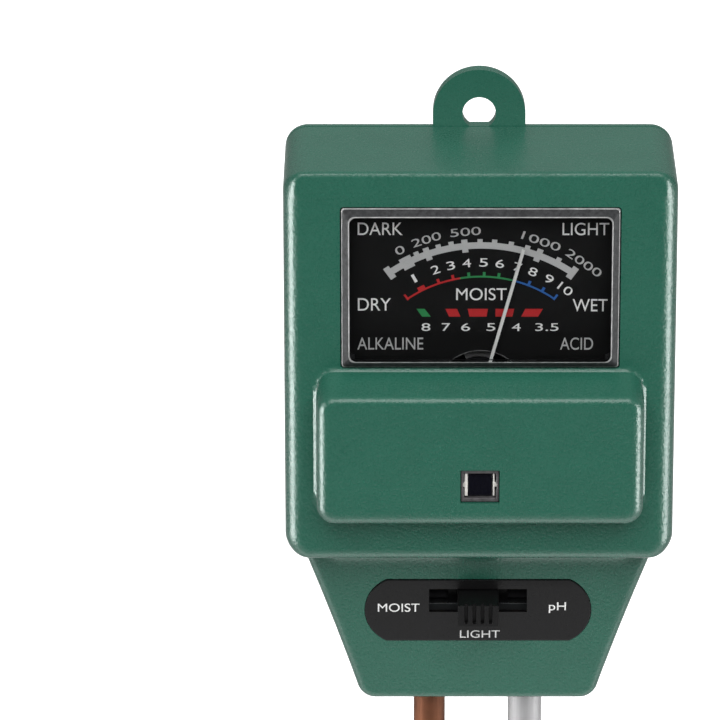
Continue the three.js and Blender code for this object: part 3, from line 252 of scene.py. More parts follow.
def loft(name, rings, matrix=None):
    """A closed mesh through rings of (x, z) points at given y, capped at both ends.

    rings: [(y, [(x, z), ...]), ...], each ring with the same number of points."""
    count = len(rings[0][1])
    points = [(x, y, z) for y, ring in rings for x, z in ring]
    faces = [tuple(range(count))]
    for k in range(len(rings) - 1):
        a, b = k * count, (k + 1) * count
        faces += [(a + i, b + i, b + (i + 1) % count, a + (i + 1) % count) for i in range(count)]
    last = (len(rings) - 1) * count
    faces.append(tuple(last + i for i in reversed(range(count))))
    made = new_object(name, points, faces, matrix)
    outward(made)
    return made


def prism(name, outline, y0, y1, matrix=None):
    return loft(name, [(y0, outline), (y1, outline)], matrix)


def block(name, x0, x1, y0, y1, z0, z1, matrix=None):
    return prism(name, [(x0, z0), (x1, z0), (x1, z1), (x0, z1)], y0, y1, matrix)


def rod(name, radius, y0, y1, x=0.0, z=0.0, sides=40, matrix=None):
    """A cylinder along Y."""
    return prism(name, arc(x, z, radius, 0, 360, sides)[:-1], y0, y1, matrix)


def rods(name, radius, y0, y1, places):
    return [rod(name, radius, y0, y1, x, z) for x, z in places]


def outward(obj):
    mesh = bmesh.new()
    mesh.from_mesh(obj.data)
    bmesh.ops.recalc_face_normals(mesh, faces=mesh.faces)
    if mesh.calc_volume(signed=True) < 0:
        bmesh.ops.reverse_faces(mesh, faces=mesh.faces)
    mesh.to_mesh(obj.data)
    mesh.free()


def weld(obj):
    """Joins the caps and sides of letters, which come as loose faces."""
    mesh = bmesh.new()
    mesh.from_mesh(obj.data)
    bmesh.ops.remove_doubles(mesh, verts=mesh.verts, dist=LETTER_WELD)
    bmesh.ops.dissolve_degenerate(mesh, edges=mesh.edges, dist=LETTER_SLIVER)
    mesh.to_mesh(obj.data)
    mesh.free()


def lathe(name, profile, sides=48, x=0.0, y=0.0):
    """A body of revolution about a line along Z at (x, y); profile: (radius, z) from end to end."""
    points, faces = [], []
    rings = []
    for radius, z in profile:
        if radius == 0:
            rings.append([len(points)])
            points.append((x, y, z))
            continue
        rings.append(list(range(len(points), len(points) + sides)))
        for i in range(sides):
            a = 2 * math.pi * i / sides
            points.append((x + radius * math.cos(a), y + radius * math.sin(a), z))
    for low, high in zip(rings, rings[1:]):
        for i in range(sides):
            j = (i + 1) % sides
            face = [low[i % len(low)], low[j % len(low)], high[j % len(high)], high[i % len(high)]]
            faces.append(tuple(dict.fromkeys(face)))
    made = new_object(name, points, faces)
    outward(made)
    return made


def evaluated_mesh(obj):
    graph = bpy.context.evaluated_depsgraph_get()
    return bpy.data.meshes.new_from_object(obj.evaluated_get(graph))


def apply_modifiers(obj):
    mesh = evaluated_mesh(obj)
    obj.modifiers.clear()
    old, obj.data = obj.data, mesh
    bpy.data.meshes.remove(old)


def combine(obj, operation, tools):
    """Joins or cuts obj with each tool, and removes the tools."""
    for tool in tools:
        modifier = obj.modifiers.new("combine", "BOOLEAN")
        modifier.operation = operation
        modifier.solver = "MANIFOLD"
        modifier.object = tool
    apply_modifiers(obj)
    for tool in tools:
        bpy.data.objects.remove(tool)
    return obj


def cut(obj, *tools):
    return combine(obj, "DIFFERENCE", tools)


def join(obj, *tools):
    return combine(obj, "UNION", tools)


def bevel(obj, width, segments=3, angle=40):
    """Rounds every edge sharper than angle, and keeps the rounding in the mesh."""
    modifier = obj.modifiers.new("bevel", "BEVEL")
    modifier.width = width * MM
    modifier.segments = segments
    modifier.limit_method = "ANGLE"
    modifier.angle_limit = math.radians(angle)
    modifier.use_clamp_overlap = True
    apply_modifiers(obj)
    return obj


def shade(obj, angle=32):
    """Smooth shading, with edges sharper than angle left sharp. Normals are weighted by area, so that
    flat faces look flat next to their rounded edges."""
    mesh = bmesh.new()
    mesh.from_mesh(obj.data)
    bmesh.ops.remove_doubles(mesh, verts=mesh.verts, dist=SEAM_WELD)
    limit = math.radians(angle)
    for face in mesh.faces:
        face.smooth = True
    for edge in mesh.edges:
        edge.smooth = len(edge.link_faces) == 2 and edge.calc_face_angle(0) < limit
    mesh.to_mesh(obj.data)
    mesh.free()
    weighted = obj.modifiers.new("weighted", "WEIGHTED_NORMAL")
    weighted.keep_sharp = True
    apply_modifiers(obj)
    return obj


def piece(obj, body, finish, node_name):
    """Finishes a piece: its body, its material and the CAD node it stands for."""
    obj.data.materials.clear()
    obj.data.materials.append(MATERIALS[finish])
    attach(obj, body)
    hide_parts(node_name)


# ---- Skins: surfaces where a distance field is zero ----


def crossings(inside):
    """For each cell, how many of its eight corners are inside."""
    nx, ny, nz = (n - 1 for n in inside.shape)
    total = np.zeros((nx, ny, nz), np.int8)
    for i in (0, 1):
        for j in (0, 1):
            for k in (0, 1):
                total += inside[i:nx + i, j:ny + j, k:nz + k]
    return total


def gradient(field, points, reach=0.02):
    steps = np.eye(3) * reach
    return np.stack([(field(points + s) - field(points - s)) / (2 * reach) for s in steps], -1)


def onto_surface(field, points, rounds):
    for _ in range(rounds):
        slope = gradient(field, points)
        size = np.maximum((slope ** 2).sum(-1, keepdims=True), 0.05)
        points = points - field(points)[:, None] * slope / size
    return points


def cell_quads(inside, index):
    """One quad for each grid edge that crosses the surface, around that edge."""
    quads = []
    for axis in range(3):
        u, v = (axis + 1) % 3, (axis + 2) % 3
        near = np.take(inside, range(inside.shape[axis] - 1), axis)
        far = np.take(inside, range(1, inside.shape[axis]), axis)
        places = np.argwhere(near != far)
        keep = (places[:, u] > 0) & (places[:, v] > 0)
        keep &= (places[:, u] < index.shape[u]) & (places[:, v] < index.shape[v])
        places = places[keep]
        corners = []
        for du, dv in ((1, 1), (0, 1), (0, 0), (1, 0)):
            cell = places.copy()
            cell[:, u] -= du
            cell[:, v] -= dv
            corners.append(index[tuple(cell.T)])
        quad = np.stack(corners, -1)
        flip = ~near[tuple(places.T)]
        quad[flip] = quad[flip][:, ::-1]
        quads.append(quad)
    return np.concatenate(quads)


def skin(name, field, low, high, step):
    """A closed quad mesh on field = 0, its points evened out and set exactly on the surface."""
    axes = [np.arange(a, b + step, step) for a, b in zip(low, high)]
    grid = np.stack(np.meshgrid(*axes, indexing="ij"), -1)
    inside = field(grid) < 0
    total = crossings(inside)
    active = (total > 0) & (total < 8)
    index = np.full(active.shape, -1)
    index[active] = np.arange(active.sum())
    corner = np.argwhere(active)
    points = np.array(low) + (corner + 0.5) * step
    quads = cell_quads(inside, index)
    points = onto_surface(field, points, 3)
    ends = np.concatenate([quads[:, [i, (i + 1) % 4]] for i in range(4)])
    for _ in range(4):
        total = np.zeros_like(points)
        count = np.zeros(len(points))
        np.add.at(total, ends[:, 0], points[ends[:, 1]])
        np.add.at(count, ends[:, 0], 1)
        points = onto_surface(field, (points + total / count[:, None]) / 2, 2)
    made = new_object(name, points, quads)
    outward(made)
    return made


# ---- The case's distance field ----


def round_max(a, b, radius):
    """What both half spaces share, their edge rounded by radius."""
    corner = np.hypot(np.maximum(a + radius, 0), np.maximum(b + radius, 0))
    return np.minimum(np.maximum(a, b), -radius) + corner


def round_min(a, b, radius):
    """Both bodies together, with a hollow fillet of radius between them."""
    return -round_max(-a, -b, radius)


def ease(t):
    t = np.clip(t, 0, 1)
    return t * t * (3 - 2 * t)


def edge_radius(side, upper, lower, side_r, upper_r, lower_r):
    """The edge radius by place: side_r near the sides, upper_r or lower_r near the top or bottom."""
    vertical = np.where(upper > lower, upper_r, lower_r)
    share = ease((side - np.maximum(upper, lower)) / EDGE_BLEND + 0.5)
    return vertical + (side_r - vertical) * share


def upper_field(x, y, z):
    side, top, bottom = np.abs(x) - CASE_HALF_WIDTH, z - CASE_TOP_Z, SHOULDER_Z - z
    outline = round_max(round_max(side, top, TOP_CORNER_R), bottom, BOTTOM_CORNER_R)
    radius = edge_radius(side, top, bottom, SIDE_EDGE_R, TOP_EDGE_R, SHOULDER_EDGE_R)
    return round_max(outline, FRONT_Y - y, radius)


def neck_side(x, z):
    foot, slope, curve = NECK_HALF_WIDTH
    lean = slope + 2 * curve * z
    return (np.abs(x) - foot - slope * z - curve * z * z) / np.sqrt(1 + lean * lean)


def neck_field(x, y, z):
    outline = round_max(neck_side(x, z), -z, NECK_CORNER_R)
    front = (NECK_FOOT_Y - y) * math.cos(NECK_TILT) - z * math.sin(NECK_TILT)
    radius = edge_radius(neck_side(x, z), -z, -z, NECK_SIDE_EDGE_R, NECK_FOOT_EDGE_R, NECK_FOOT_EDGE_R)
    body = round_max(outline, front, radius)
    return np.maximum(body, z - SHOULDER_Z - NECK_OVERLAP)


def brow_field(x, y, z):
    side, bottom = np.abs(x) - BROW_HALF_WIDTH, BROW_BOTTOM_Z - z
    top = (z - BROW_TOP_Z - BROW_SLOPE * (y - FRONT_Y)) / math.hypot(1, BROW_SLOPE)
    outline = round_max(round_max(side, top, BROW_CORNER_R), bottom, BROW_CORNER_R)
    radius = edge_radius(side, top, bottom, BROW_SIDE_EDGE_R, BROW_TOP_EDGE_R, BROW_BOTTOM_EDGE_R)
    body = round_max(outline, BROW_FRONT_Y - y, radius)
    return np.maximum(body, y - FRONT_Y - BROW_OVERLAP)


def case_field(points):
    x, y, z = points[..., 0], points[..., 1], points[..., 2]
    inner = ease(-neck_side(x, z) / NECK_FILLET_BLEND)
    fillet = NECK_FILLET_SIDE_R + (NECK_FILLET_R - NECK_FILLET_SIDE_R) * inner
    body = round_min(upper_field(x, y, z), neck_field(x, y, z), fillet)
    body = round_min(body, brow_field(x, y, z), BROW_ROOT_R)
    return round_max(body, y - BACK_Y, BACK_EDGE_R)


def hollow_field(points):
    past_parting = points[..., 1] - PARTING_Y - HOLLOW_PAST_PARTING
    return np.maximum(case_field(points) + WALL, past_parting)


def outline_field(points, inset, reach):
    """The case's outline, inset, and as far as reach before and behind the parting line."""
    flat = points.copy()
    flat[..., 1] = 0
    return np.maximum(case_field(flat) + inset, np.abs(points[..., 1] - PARTING_Y) - reach)


def case_skin(name):
    margin = np.array([1.5, 1.5, 1.5])
    low = np.array([-CASE_HALF_WIDTH, BROW_FRONT_Y, 0]) - margin
    high = np.array([CASE_HALF_WIDTH, BACK_Y, CASE_TOP_Z]) + margin
    return skin(name, case_field, low, high, SKIN_STEP)


def half_space(name, y0, y1):
    return block(name, -60, 60, y0, y1, -20, 140)


# ---- Materials ----


def fill(tree, shader_node, inputs):
    """Gives each named input its value, or links it where the value is another node's output."""
    for name, value in inputs.items():
        if isinstance(value, bpy.types.NodeSocket):
            tree.links.new(value, shader_node.inputs[name])
        else:
            shader_node.inputs[name].default_value = value


def node(tree, kind, inputs=None, **settings):
    made = tree.nodes.new(kind)
    for key, value in settings.items():
        setattr(made, key, value)
    fill(tree, made, inputs or {})
    return made


def new_material(name):
    """An empty material: its tree, and the input that its surface shader goes to."""
    material = bpy.data.materials.new(name)
    material.use_nodes = True
    tree = material.node_tree
    tree.nodes.remove(tree.nodes["Principled BSDF"])
    return material, tree, tree.nodes["Material Output"].inputs["Surface"]


def object_coordinates(tree):
    return node(tree, "ShaderNodeTexCoord").outputs["Object"]


def noise(tree, coordinates, size, detail=3.0, roughness=0.55):
    """A noise texture whose features are about size metres across."""
    inputs = {"Scale": 1 / size, "Detail": detail, "Roughness": roughness, "Vector": coordinates}
    return node(tree, "ShaderNodeTexNoise", inputs).outputs["Fac"]


def remap(tree, value, low, high, source=(0.3, 0.7)):
    inputs = {"From Min": source[0], "From Max": source[1], "To Min": low, "To Max": high, "Value": value}
    return node(tree, "ShaderNodeMapRange", inputs).outputs["Result"]


def blend_colours(tree, factor, first, second):
    inputs = {"A": (*first, 1), "B": (*second, 1), "Factor": factor}
    return node(tree, "ShaderNodeMix", inputs, data_type="RGBA").outputs["Result"]


def surface(name, colour, roughness, metallic=0.0, grain=0.3, depth=0.01, stretch=(1, 1, 1),
            mottle=0.08, mottle_size=6.0, specular=0.5):
    """A procedural finish. grain and mottle_size are feature sizes and depth is the bump's height, mm;
    stretch squeezes the grain along an axis, for drawn or brushed metal; mottle is the colour's swing."""
    material = bpy.data.materials.new(name)
    material.use_nodes = True
    tree = material.node_tree
    coordinates = object_coordinates(tree)
    mapping = node(tree, "ShaderNodeMapping", {"Scale": stretch, "Vector": coordinates})
    fine = noise(tree, mapping.outputs["Vector"], grain * MM, 2.0)
    broad = noise(tree, coordinates, mottle_size * MM, 4.0)
    factor = remap(tree, broad, 0, 1)
    dark = [c * (1 - mottle) for c in colour]
    light = [min(c * (1 + mottle), 1) for c in colour]
    bump = node(tree, "ShaderNodeBump", {"Strength": 1, "Distance": depth * MM, "Height": fine})
    fill(tree, tree.nodes["Principled BSDF"], {
        "Metallic": metallic,
        "Specular IOR Level": specular,
        "Base Color": blend_colours(tree, factor, dark, light),
        "Roughness": remap(tree, fine, roughness * 0.9, min(roughness * 1.12, 1)),
        "Normal": bump.outputs["Normal"],
    })
    return material


def mix_shaders(tree, share, first, second):
    mix = node(tree, "ShaderNodeMixShader", {"Fac": share})
    tree.links.new(first.outputs["BSDF"], mix.inputs[1])
    tree.links.new(second.outputs["BSDF"], mix.inputs[2])
    return mix.outputs["Shader"]


HAZE_SIZE = 2.5


def clear_plastic():
    """Clear sheet seen square on: mostly see-through, with a weak reflection that grows at the rim."""
    material, tree, output = new_material("clear_plastic")
    haze = noise(tree, object_coordinates(tree), HAZE_SIZE * MM)
    through = node(tree, "ShaderNodeBsdfTransparent", {"Color": (0.99, 0.995, 0.995, 1)})
    shine = {"Color": (0.9, 0.92, 0.92, 1), "Roughness": remap(tree, haze, 0.02, 0.06)}
    glossy = node(tree, "ShaderNodeBsdfGlossy", shine)
    share = node(tree, "ShaderNodeFresnel", {"IOR": 1.3}).outputs["Fac"]
    tree.links.new(mix_shaders(tree, share, through, glossy), output)
    return material


def clear_inside():
    """The inner side of clear sheet: see-through, with a trace of haze and no reflection."""
    material, tree, output = new_material("clear_inside")
    haze = remap(tree, noise(tree, object_coordinates(tree), HAZE_SIZE * MM), 0, 1)
    tint = blend_colours(tree, haze, (0.975, 0.985, 0.985), (0.995, 0.995, 0.995))
    through = node(tree, "ShaderNodeBsdfTransparent", {"Color": tint})
    tree.links.new(through.outputs["BSDF"], output)
    return material


def print_ink(name, colour, mottle=0.08):
    return surface(name, colour, 0.6, grain=0.1, depth=0.001, mottle=mottle)


MATERIALS = {
    "green_plastic": surface("green_plastic", (0.02, 0.118, 0.079), 0.28,
                             grain=0.42, depth=0.075, mottle=0.04),
    "dial_black": surface("dial_black", (0.0025, 0.0025, 0.0028), 0.55, grain=0.15, depth=0.002,
                          specular=0.25),
    "black_plastic": surface("black_plastic", (0.012, 0.011, 0.013), 0.35, grain=0.2, depth=0.005),
    "knob_black": surface("knob_black", (0.003, 0.003, 0.0033), 0.4, grain=0.2, depth=0.004, specular=0.2),
    "plate_black": surface("plate_black", (0.004, 0.0038, 0.0043), 0.3, grain=0.25, depth=0.003,
                           specular=0.33),
    "pointer_white": surface("pointer_white", (0.8, 0.8, 0.78), 0.5, grain=0.1, depth=0.001),
    "steel": surface("steel", (0.46, 0.47, 0.48), 0.32, 1, grain=0.2, depth=0.003),
    "tinned": surface("tinned", (0.8, 0.78, 0.74), 0.5, 0.25, grain=0.25, depth=0.008, mottle=0.15,
                      mottle_size=1.0),
    "soft_iron": surface("soft_iron", (0.09, 0.095, 0.1), 0.45, 0.9, grain=0.3, depth=0.006),
    "brass": surface("brass", (0.5, 0.33, 0.1), 0.3, 1, grain=0.15, depth=0.002, mottle=0.12),
    "copper": surface("copper", (0.118, 0.043, 0.02), 0.65, 0.5, grain=0.35, depth=0.01,
                      stretch=(1, 1, 0.04), mottle=0.3, mottle_size=5, specular=0.2),
    "aluminium": surface("aluminium", (0.32, 0.317, 0.322), 0.65, 0.5, grain=0.25, depth=0.006,
                         stretch=(1, 1, 0.03), mottle=0.08, mottle_size=9, specular=0.2),
    "coil_wire": surface("coil_wire", (0.33, 0.08, 0.02), 0.3, 0.6, grain=0.12, depth=0.02,
                         stretch=(1, 0.05, 1)),
    "spring_bronze": surface("spring_bronze", (0.4, 0.25, 0.08), 0.28, 1, grain=0.1, depth=0.001),
    "magnet": surface("magnet", (0.05, 0.052, 0.056), 0.42, 0.7, grain=0.3, depth=0.01),
    "silicon": surface("silicon", (0.004, 0.004, 0.008), 0.15, grain=0.5, depth=0.001),
    "phenolic": surface("phenolic", (0.16, 0.065, 0.024), 0.5, grain=0.3, depth=0.008,
                        stretch=(1, 1, 0.3), mottle=0.2),
    "frame_resin": surface("frame_resin", (0.6, 0.56, 0.45), 0.5, grain=0.3, depth=0.006),
    "resistor_body": surface("resistor_body", (0.56, 0.38, 0.18), 0.4, grain=0.3, depth=0.01),
    "red_insulation": surface("red_insulation", (0.4, 0.02, 0.015), 0.45, grain=0.2, depth=0.004),
    "black_insulation": surface("black_insulation", (0.01, 0.01, 0.01), 0.45, grain=0.2, depth=0.004),
    "print_white": print_ink("print_white", (0.9, 0.9, 0.89), 0.05),
    "print_grey": print_ink("print_grey", (0.55, 0.55, 0.55), 0.05),
    "print_red": print_ink("print_red", (0.55, 0.015, 0.018)),
    "print_green": print_ink("print_green", (0.02, 0.27, 0.075)),
    "print_blue": print_ink("print_blue", (0.02, 0.13, 0.46)),
    # Painted shade: the window's clear bevel and skirt, dark grey for the shadow between lens and case
    # that shows through them
    "bevel_painted_shade": surface("bevel_painted_shade", (0.035, 0.036, 0.038), 0.55, grain=0.25, depth=0.03, stretch=(0.15, 1, 1),
                     mottle=0.45, mottle_size=0.7, specular=0.12),
    "cell_frame": surface("cell_frame", (0.075, 0.072, 0.075), 0.4, grain=0.3, depth=0.01, mottle=0.4,
                          mottle_size=0.8),
    # Painted highlight: light-grey lines on the two narrow edges of the window's bevel
    "bevel_painted_highlight": surface("bevel_painted_highlight", (0.32, 0.32, 0.32), 0.3, grain=0.4, depth=0.01, mottle=0.4,
                          mottle_size=1.5),
    # Painted highlight, in the grey of bare cut metal, for the edge of the dial's notch
    "notch_edge_highlight": surface("notch_edge_highlight", (0.14, 0.14, 0.14), 0.4, grain=0.3, depth=0.002, mottle=0.5,
                          mottle_size=1.2),
    "clear_plastic": clear_plastic(),
    "clear_inside": clear_inside(),
}


# ---- Case ----


def boss_root(z):
    """Where a cover screw's boss starts, inside the front wall at height z."""
    return (FRONT_Y if z > SHOULDER_Z else NECK_FOOT_Y) + WALL / 2


def switch_rod(name, radius, back_y, side):
    return rod(name, radius, 1, back_y, side * SWITCH_SCREW_X, SWITCH_Z, matrix=NECK_PLANE)


def probe_hole(low, high):
    radius = (high[0] - low[0]) / 2 + PROBE_HOLE_GAP
    foot, top = PROBE_HOLE_Z
    profile = [(0, foot), (radius, foot), (radius, top), (0, top)]
    return lathe("hole", profile, x=(low[0] + high[0]) / 2)


def shell_bosses():
    bosses = [rod("boss", COVER_BOSS_R, boss_root(z), PARTING_Y - 0.1, x, z) for x, z in COVER_SCREWS]
    bosses += rods("boss", MOVEMENT_BOSS_R, BROW_FRONT_Y + 1, MOVEMENT_BOSS_END_Y, MOVEMENT_SCREWS)
    return bosses + [switch_rod("boss", SWITCH_BOSS_R, SWITCH_BOSS_END_Y, side) for side in (-1, 1)]


def shell_pilots():
    """The pilot holes of all the screws that are driven into the front shell."""
    pilots = rods("pilot", COVER_PILOT_R, BACK_Y - COVER_PILOT_LENGTH, PARTING_Y + 1, COVER_SCREWS)
    pilots += rods("pilot", MOVEMENT_PILOT_R, *MOVEMENT_PILOT_Y, MOVEMENT_SCREWS)
    return pilots + [switch_rod("pilot", SWITCH_PILOT_R, SWITCH_PILOT_END_Y, side) for side in (-1, 1)]


def shell_openings():
    """The window, the light cell's opening, the switch plate's recess and slot, and the probe holes."""
    slot = (SLOT[0] - SLOT_ROOM_ASIDE, SLOT[1] + SLOT_ROOM_ASIDE, -1, 3,
            SLOT[2] - SLOT_ROOM_BELOW, SLOT[3] + SLOT_ROOM_ABOVE)
    return [
        prism("window", rounded_rect(*WINDOW, WINDOW_CORNER_R), -19, -14),
        prism("cell", rounded_rect(*CELL_OPENING, CELL_CORNER_R), BROW_FRONT_Y - 1, BROW_FRONT_Y + 3),
        prism("recess", plate_outline(PLATE_GAP), -1, PLATE_RECESS, NECK_PLANE),
        block("slot", *slot, NECK_PLANE),
        probe_hole(COPPER_LOW, COPPER_HIGH),
        probe_hole(ALUMINIUM_LOW, ALUMINIUM_HIGH),
    ]


def front_shell():
    shell = combine(case_skin("front_shell_skin"), "INTERSECT",
                    [half_space("keep", -40, PARTING_Y - PARTING_GAP / 2)])
    low = (-CASE_HALF_WIDTH, BROW_FRONT_Y, 0)
    high = (CASE_HALF_WIDTH, PARTING_Y + 3, CASE_TOP_Z)
    cut(shell, skin("hollow", hollow_field, low, high, HOLLOW_STEP))
    join(shell, *shell_bosses())
    cut(shell, *shell_openings(), *shell_pilots())
    shade(shell)
    piece(shell, "case", "green_plastic", "front_shell")


def lug():
    """The hanging lug, flat on both sides; the foot of its hole is cut off by the top of the case."""
    foot = CASE_TOP_Z - LUG_ROOT
    outline = [(-LUG_R, foot), (LUG_R, foot)] + arc(0, LUG_Z, LUG_R, 0, 180, 48)
    front_y = PARTING_Y + PARTING_GAP / 2
    made = prism("lug", outline, front_y, BACK_Y)
    hole = rod("hole", LUG_HOLE_R, front_y - 1, BACK_Y + 1, 0, LUG_HOLE_Z, 48)
    above_case = block("above_case", -5, 5, front_y - 2, BACK_Y + 2, CASE_TOP_Z, CASE_TOP_Z + 8)
    cut(made, combine(hole, "INTERSECT", [above_case]))
    return bevel(made, LUG_EDGE_R, 2, 50)


def rim():
    """The cover's locating rim, inside the front shell's wall."""
    low = (-CASE_HALF_WIDTH, PARTING_Y - RIM_REACH - 4, 0)
    high = (CASE_HALF_WIDTH, PARTING_Y + RIM_REACH + 4, CASE_TOP_Z)

    def outline_skin(name, inset, reach):
        return skin(name, lambda p: outline_field(p, inset, reach), low, high, HOLLOW_STEP)

    outer = outline_skin("rim", WALL + RIM_GAP, RIM_REACH)
    cut(outer, outline_skin("rim_hollow", WALL + RIM_GAP + RIM_THICKNESS, RIM_REACH + 2))
    strip = block("strip", -60, 60, PARTING_Y - RIM_DEPTH, PARTING_Y + 1, RIM_FOOT_Z, 120)
    combine(outer, "INTERSECT", [strip])
    return cut(outer, *rods("room", RIM_BOSS_ROOM_R, 0, PARTING_Y, COVER_SCREWS))


def rear_cover():
    cover = combine(case_skin("rear_cover_skin"), "INTERSECT",
                    [half_space("keep", PARTING_Y + PARTING_GAP / 2, 20)])
    join(cover, lug(), rim())
    tools = rods("hole", COVER_HOLE_R, 0, BACK_Y + 1, COVER_SCREWS)
    tools += rods("sink", COVER_SINK_R, BACK_Y - COVER_SINK_DEPTH, BACK_Y + 1, COVER_SCREWS)
    cut(cover, *tools)
    shade(cover)
    piece(cover, "case", "green_plastic", "rear_cover")


THREAD_PITCH = 0.7
THREAD_CORE = 0.78
HEAD_RIM = 0.35


def thread_profile(radius, length):
    """A tapping screw's point, thread and neck, as (radius, z) up to z = 0 under its head."""
    core = radius * THREAD_CORE
    profile = [(0, -length), (radius * 0.4, -length + 0.5), (radius, -length + 1.6)]
    for i in range(int((length - 2.2) / THREAD_PITCH)):
        foot = -length + 1.8 + THREAD_PITCH * i
        profile += [(core, foot), (core, foot + 0.15), (radius, foot + 0.35), (radius, foot + 0.45)]
    return profile + [(core, -0.2), (core, 0)]


def head_profile(radius, height):
    """A screw head's upright rim and the dome above it."""
    dome = [(radius * math.cos(a), height * (HEAD_RIM + (1 - HEAD_RIM) * math.sin(a)))
            for a in np.radians((20, 40, 60, 78))]
    return [(radius, 0), (radius, height * HEAD_RIM)] + dome + [(0, height)]


def screw(name, radius, length, head_radius, head_height, x, z, y):
    """A cross-head screw along Y, its head's seat at y and its point towards -Y."""
    made = lathe(name, thread_profile(radius, length) + head_profile(head_radius, head_height), 32)
    reach, half = head_radius * 0.55, head_radius * 0.13
    for along_x in (True, False):
        w, d = (reach, half) if along_x else (half, reach)
        outline = [(-w, -d), (w, -d), (w, d), (-w, d)]
        slot = prism("slot", outline, head_height * 0.45, head_height + 1)
        slot.data.transform(Matrix.Rotation(math.pi / 2, 4, "X"))
        cut(made, slot)
    place = Matrix.Translation((x * MM, y * MM, z * MM))
    made.data.transform(place @ Matrix.Rotation(-math.pi / 2, 4, "X"))
    return shade(made)


COVER_SCREW_SIZE = (1.0, 10, 2.2, 1.2)
COVER_SCREW_LIFT = 0.02


def cover_screws():
    names = ("upper_left", "upper_right", "lower_left", "lower_right")
    for name, (x, z) in zip(names, COVER_SCREWS):
        seat = BACK_Y - COVER_SINK_DEPTH + COVER_SCREW_LIFT
        made = screw(f"cover_screw_{name}_detail", *COVER_SCREW_SIZE, x, z, seat)
        piece(made, "case", "steel", f"cover_screw_{name}")


# ---- Window and dial ----


LENS_EDGE = 0.05
LENS_GAP = 0.2
LENS_FLANGE = 1.6
LENS_FLANGE_THICKNESS = 1.2
LENS_SKIRT = 1.1
LENS_PLATE = 1.2
LENS_NOTCH_HALF_WIDTH = 9.5
# The clear sheet, the bevel's painted shade, the painted highlight on its edges, and the clear inside
LENS_FINISHES = ("clear_plastic", "bevel_painted_shade", "bevel_painted_highlight", "clear_inside")
CLEAR, BEVEL_SHADE, BEVEL_HIGHLIGHT, CLEAR_INSIDE = range(4)


def window_lens():
    """A clear tray, lofted from its flat front over the bevel, back to the flange and into its hollow."""
    x0, x1 = WINDOW[0] + LENS_GAP, WINDOW[1] - LENS_GAP
    z0, z1 = WINDOW[2] + LENS_GAP, WINDOW[3] - LENS_GAP
    front_y = LENS_LOW[1]
    back_y = LENS_HIGH[1]
    flange_y = back_y - LENS_FLANGE_THICKNESS

    def ring(y, inset, radius, low_extra=0.0):
        return y, rounded_rect(x0 + inset, x1 - inset, z0 + inset + low_extra, z1 - inset, radius)

    rings = [
        ring(front_y, 1.32, 1.1),
        ring(front_y + LENS_EDGE, 1.14, 1.0),
        ring(FRONT_Y - 0.1, 0.15, 0.6),
        ring(FRONT_Y + 0.1, 0.0, 0.5),
        ring(flange_y, 0.0, 0.5),
        ring(flange_y, -LENS_FLANGE, 0.3, 0.4),
        ring(back_y, -LENS_FLANGE, 0.3, 0.4),
        ring(back_y, LENS_SKIRT, 1.0),
        ring(front_y + LENS_PLATE + 0.25, LENS_SKIRT, 1.0),
        ring(front_y + LENS_PLATE, LENS_SKIRT + 0.25, 0.9),
    ]
    lens = loft("window_lens_clear", rings)
    half = LENS_NOTCH_HALF_WIDTH
    cut(lens, block("notch", -half, half, flange_y, back_y + 1, z0 - 3, z0 + 2.1))
    shade(lens, 25)
    piece(lens, "case", LENS_FINISHES[CLEAR], "window_lens")
    for finish in LENS_FINISHES[BEVEL_SHADE:]:
        lens.data.materials.append(MATERIALS[finish])
    paint_rim_light(lens, front_y)


def paint_rim_light(lens, front_y):
    """The bevel and the skirt get a painted shade, a dark grey for the shadow between lens and case that
    they show from the front; the two narrow edges that bound the bevel get a painted highlight, and the
    inside shows no reflection."""
    for face in lens.data.polygons:
        y = face.center[1] / MM
        # Painted highlight on the bevel's two narrow edges; painted shade on the bevel and the skirt
        if front_y + 0.01 < y < front_y + LENS_EDGE or abs(y - FRONT_Y) < 0.09:
            face.material_index = BEVEL_HIGHLIGHT
        elif front_y + LENS_EDGE < y < FRONT_Y + 1.9 and abs(face.normal.y) < 0.97:
            face.material_index = BEVEL_SHADE
        elif y > front_y + LENS_EDGE:
            face.material_index = CLEAR_INSIDE


PRINT_Y = DIAL_FACE_Y - 0.005
PRINT_X = 0.15
PRINT_Z = PIVOT_Z + 0.07
PRINT_THICKNESS = 0.03
# Shapes of one scale that cross each other stand this much in front of one another
PRINT_LAYER = 0.002


def fitted_text(body, x0, x1, z0, z1, y, turn=0.0, about=None):
    """Words as a mesh, fitted to a box in the dial's plane and then turned clockwise about a point."""
    curve = bpy.data.curves.new("words", "FONT")
    curve.body = body
    curve.extrude = 0.5
    words = bpy.data.objects.new("words", curve)
    bpy.context.scene.collection.objects.link(words)
    bpy.context.view_layer.update()
    mesh = evaluated_mesh(words)
    bpy.data.objects.remove(words)
    co = np.array([v.co for v in mesh.vertices])
    low, high = co.min(0), co.max(0)
    span = high - low
    points = np.empty_like(co)
    points[:, 0] = x0 + (co[:, 0] - low[0]) / span[0] * (x1 - x0)
    points[:, 2] = z0 + (co[:, 1] - low[1]) / span[1] * (z1 - z0)
    points[:, 1] = y - PRINT_THICKNESS * (co[:, 2] - low[2]) / span[2]
    faces = [list(p.vertices) for p in mesh.polygons]
    bpy.data.meshes.remove(mesh)
    if turn:
        cx, cz = about
        c, s = math.cos(math.radians(turn)), math.sin(math.radians(turn))
        dx, dz = points[:, 0] - cx, points[:, 2] - cz
        points[:, 0], points[:, 2] = cx + dx * c + dz * s, cz - dx * s + dz * c
    return points, faces


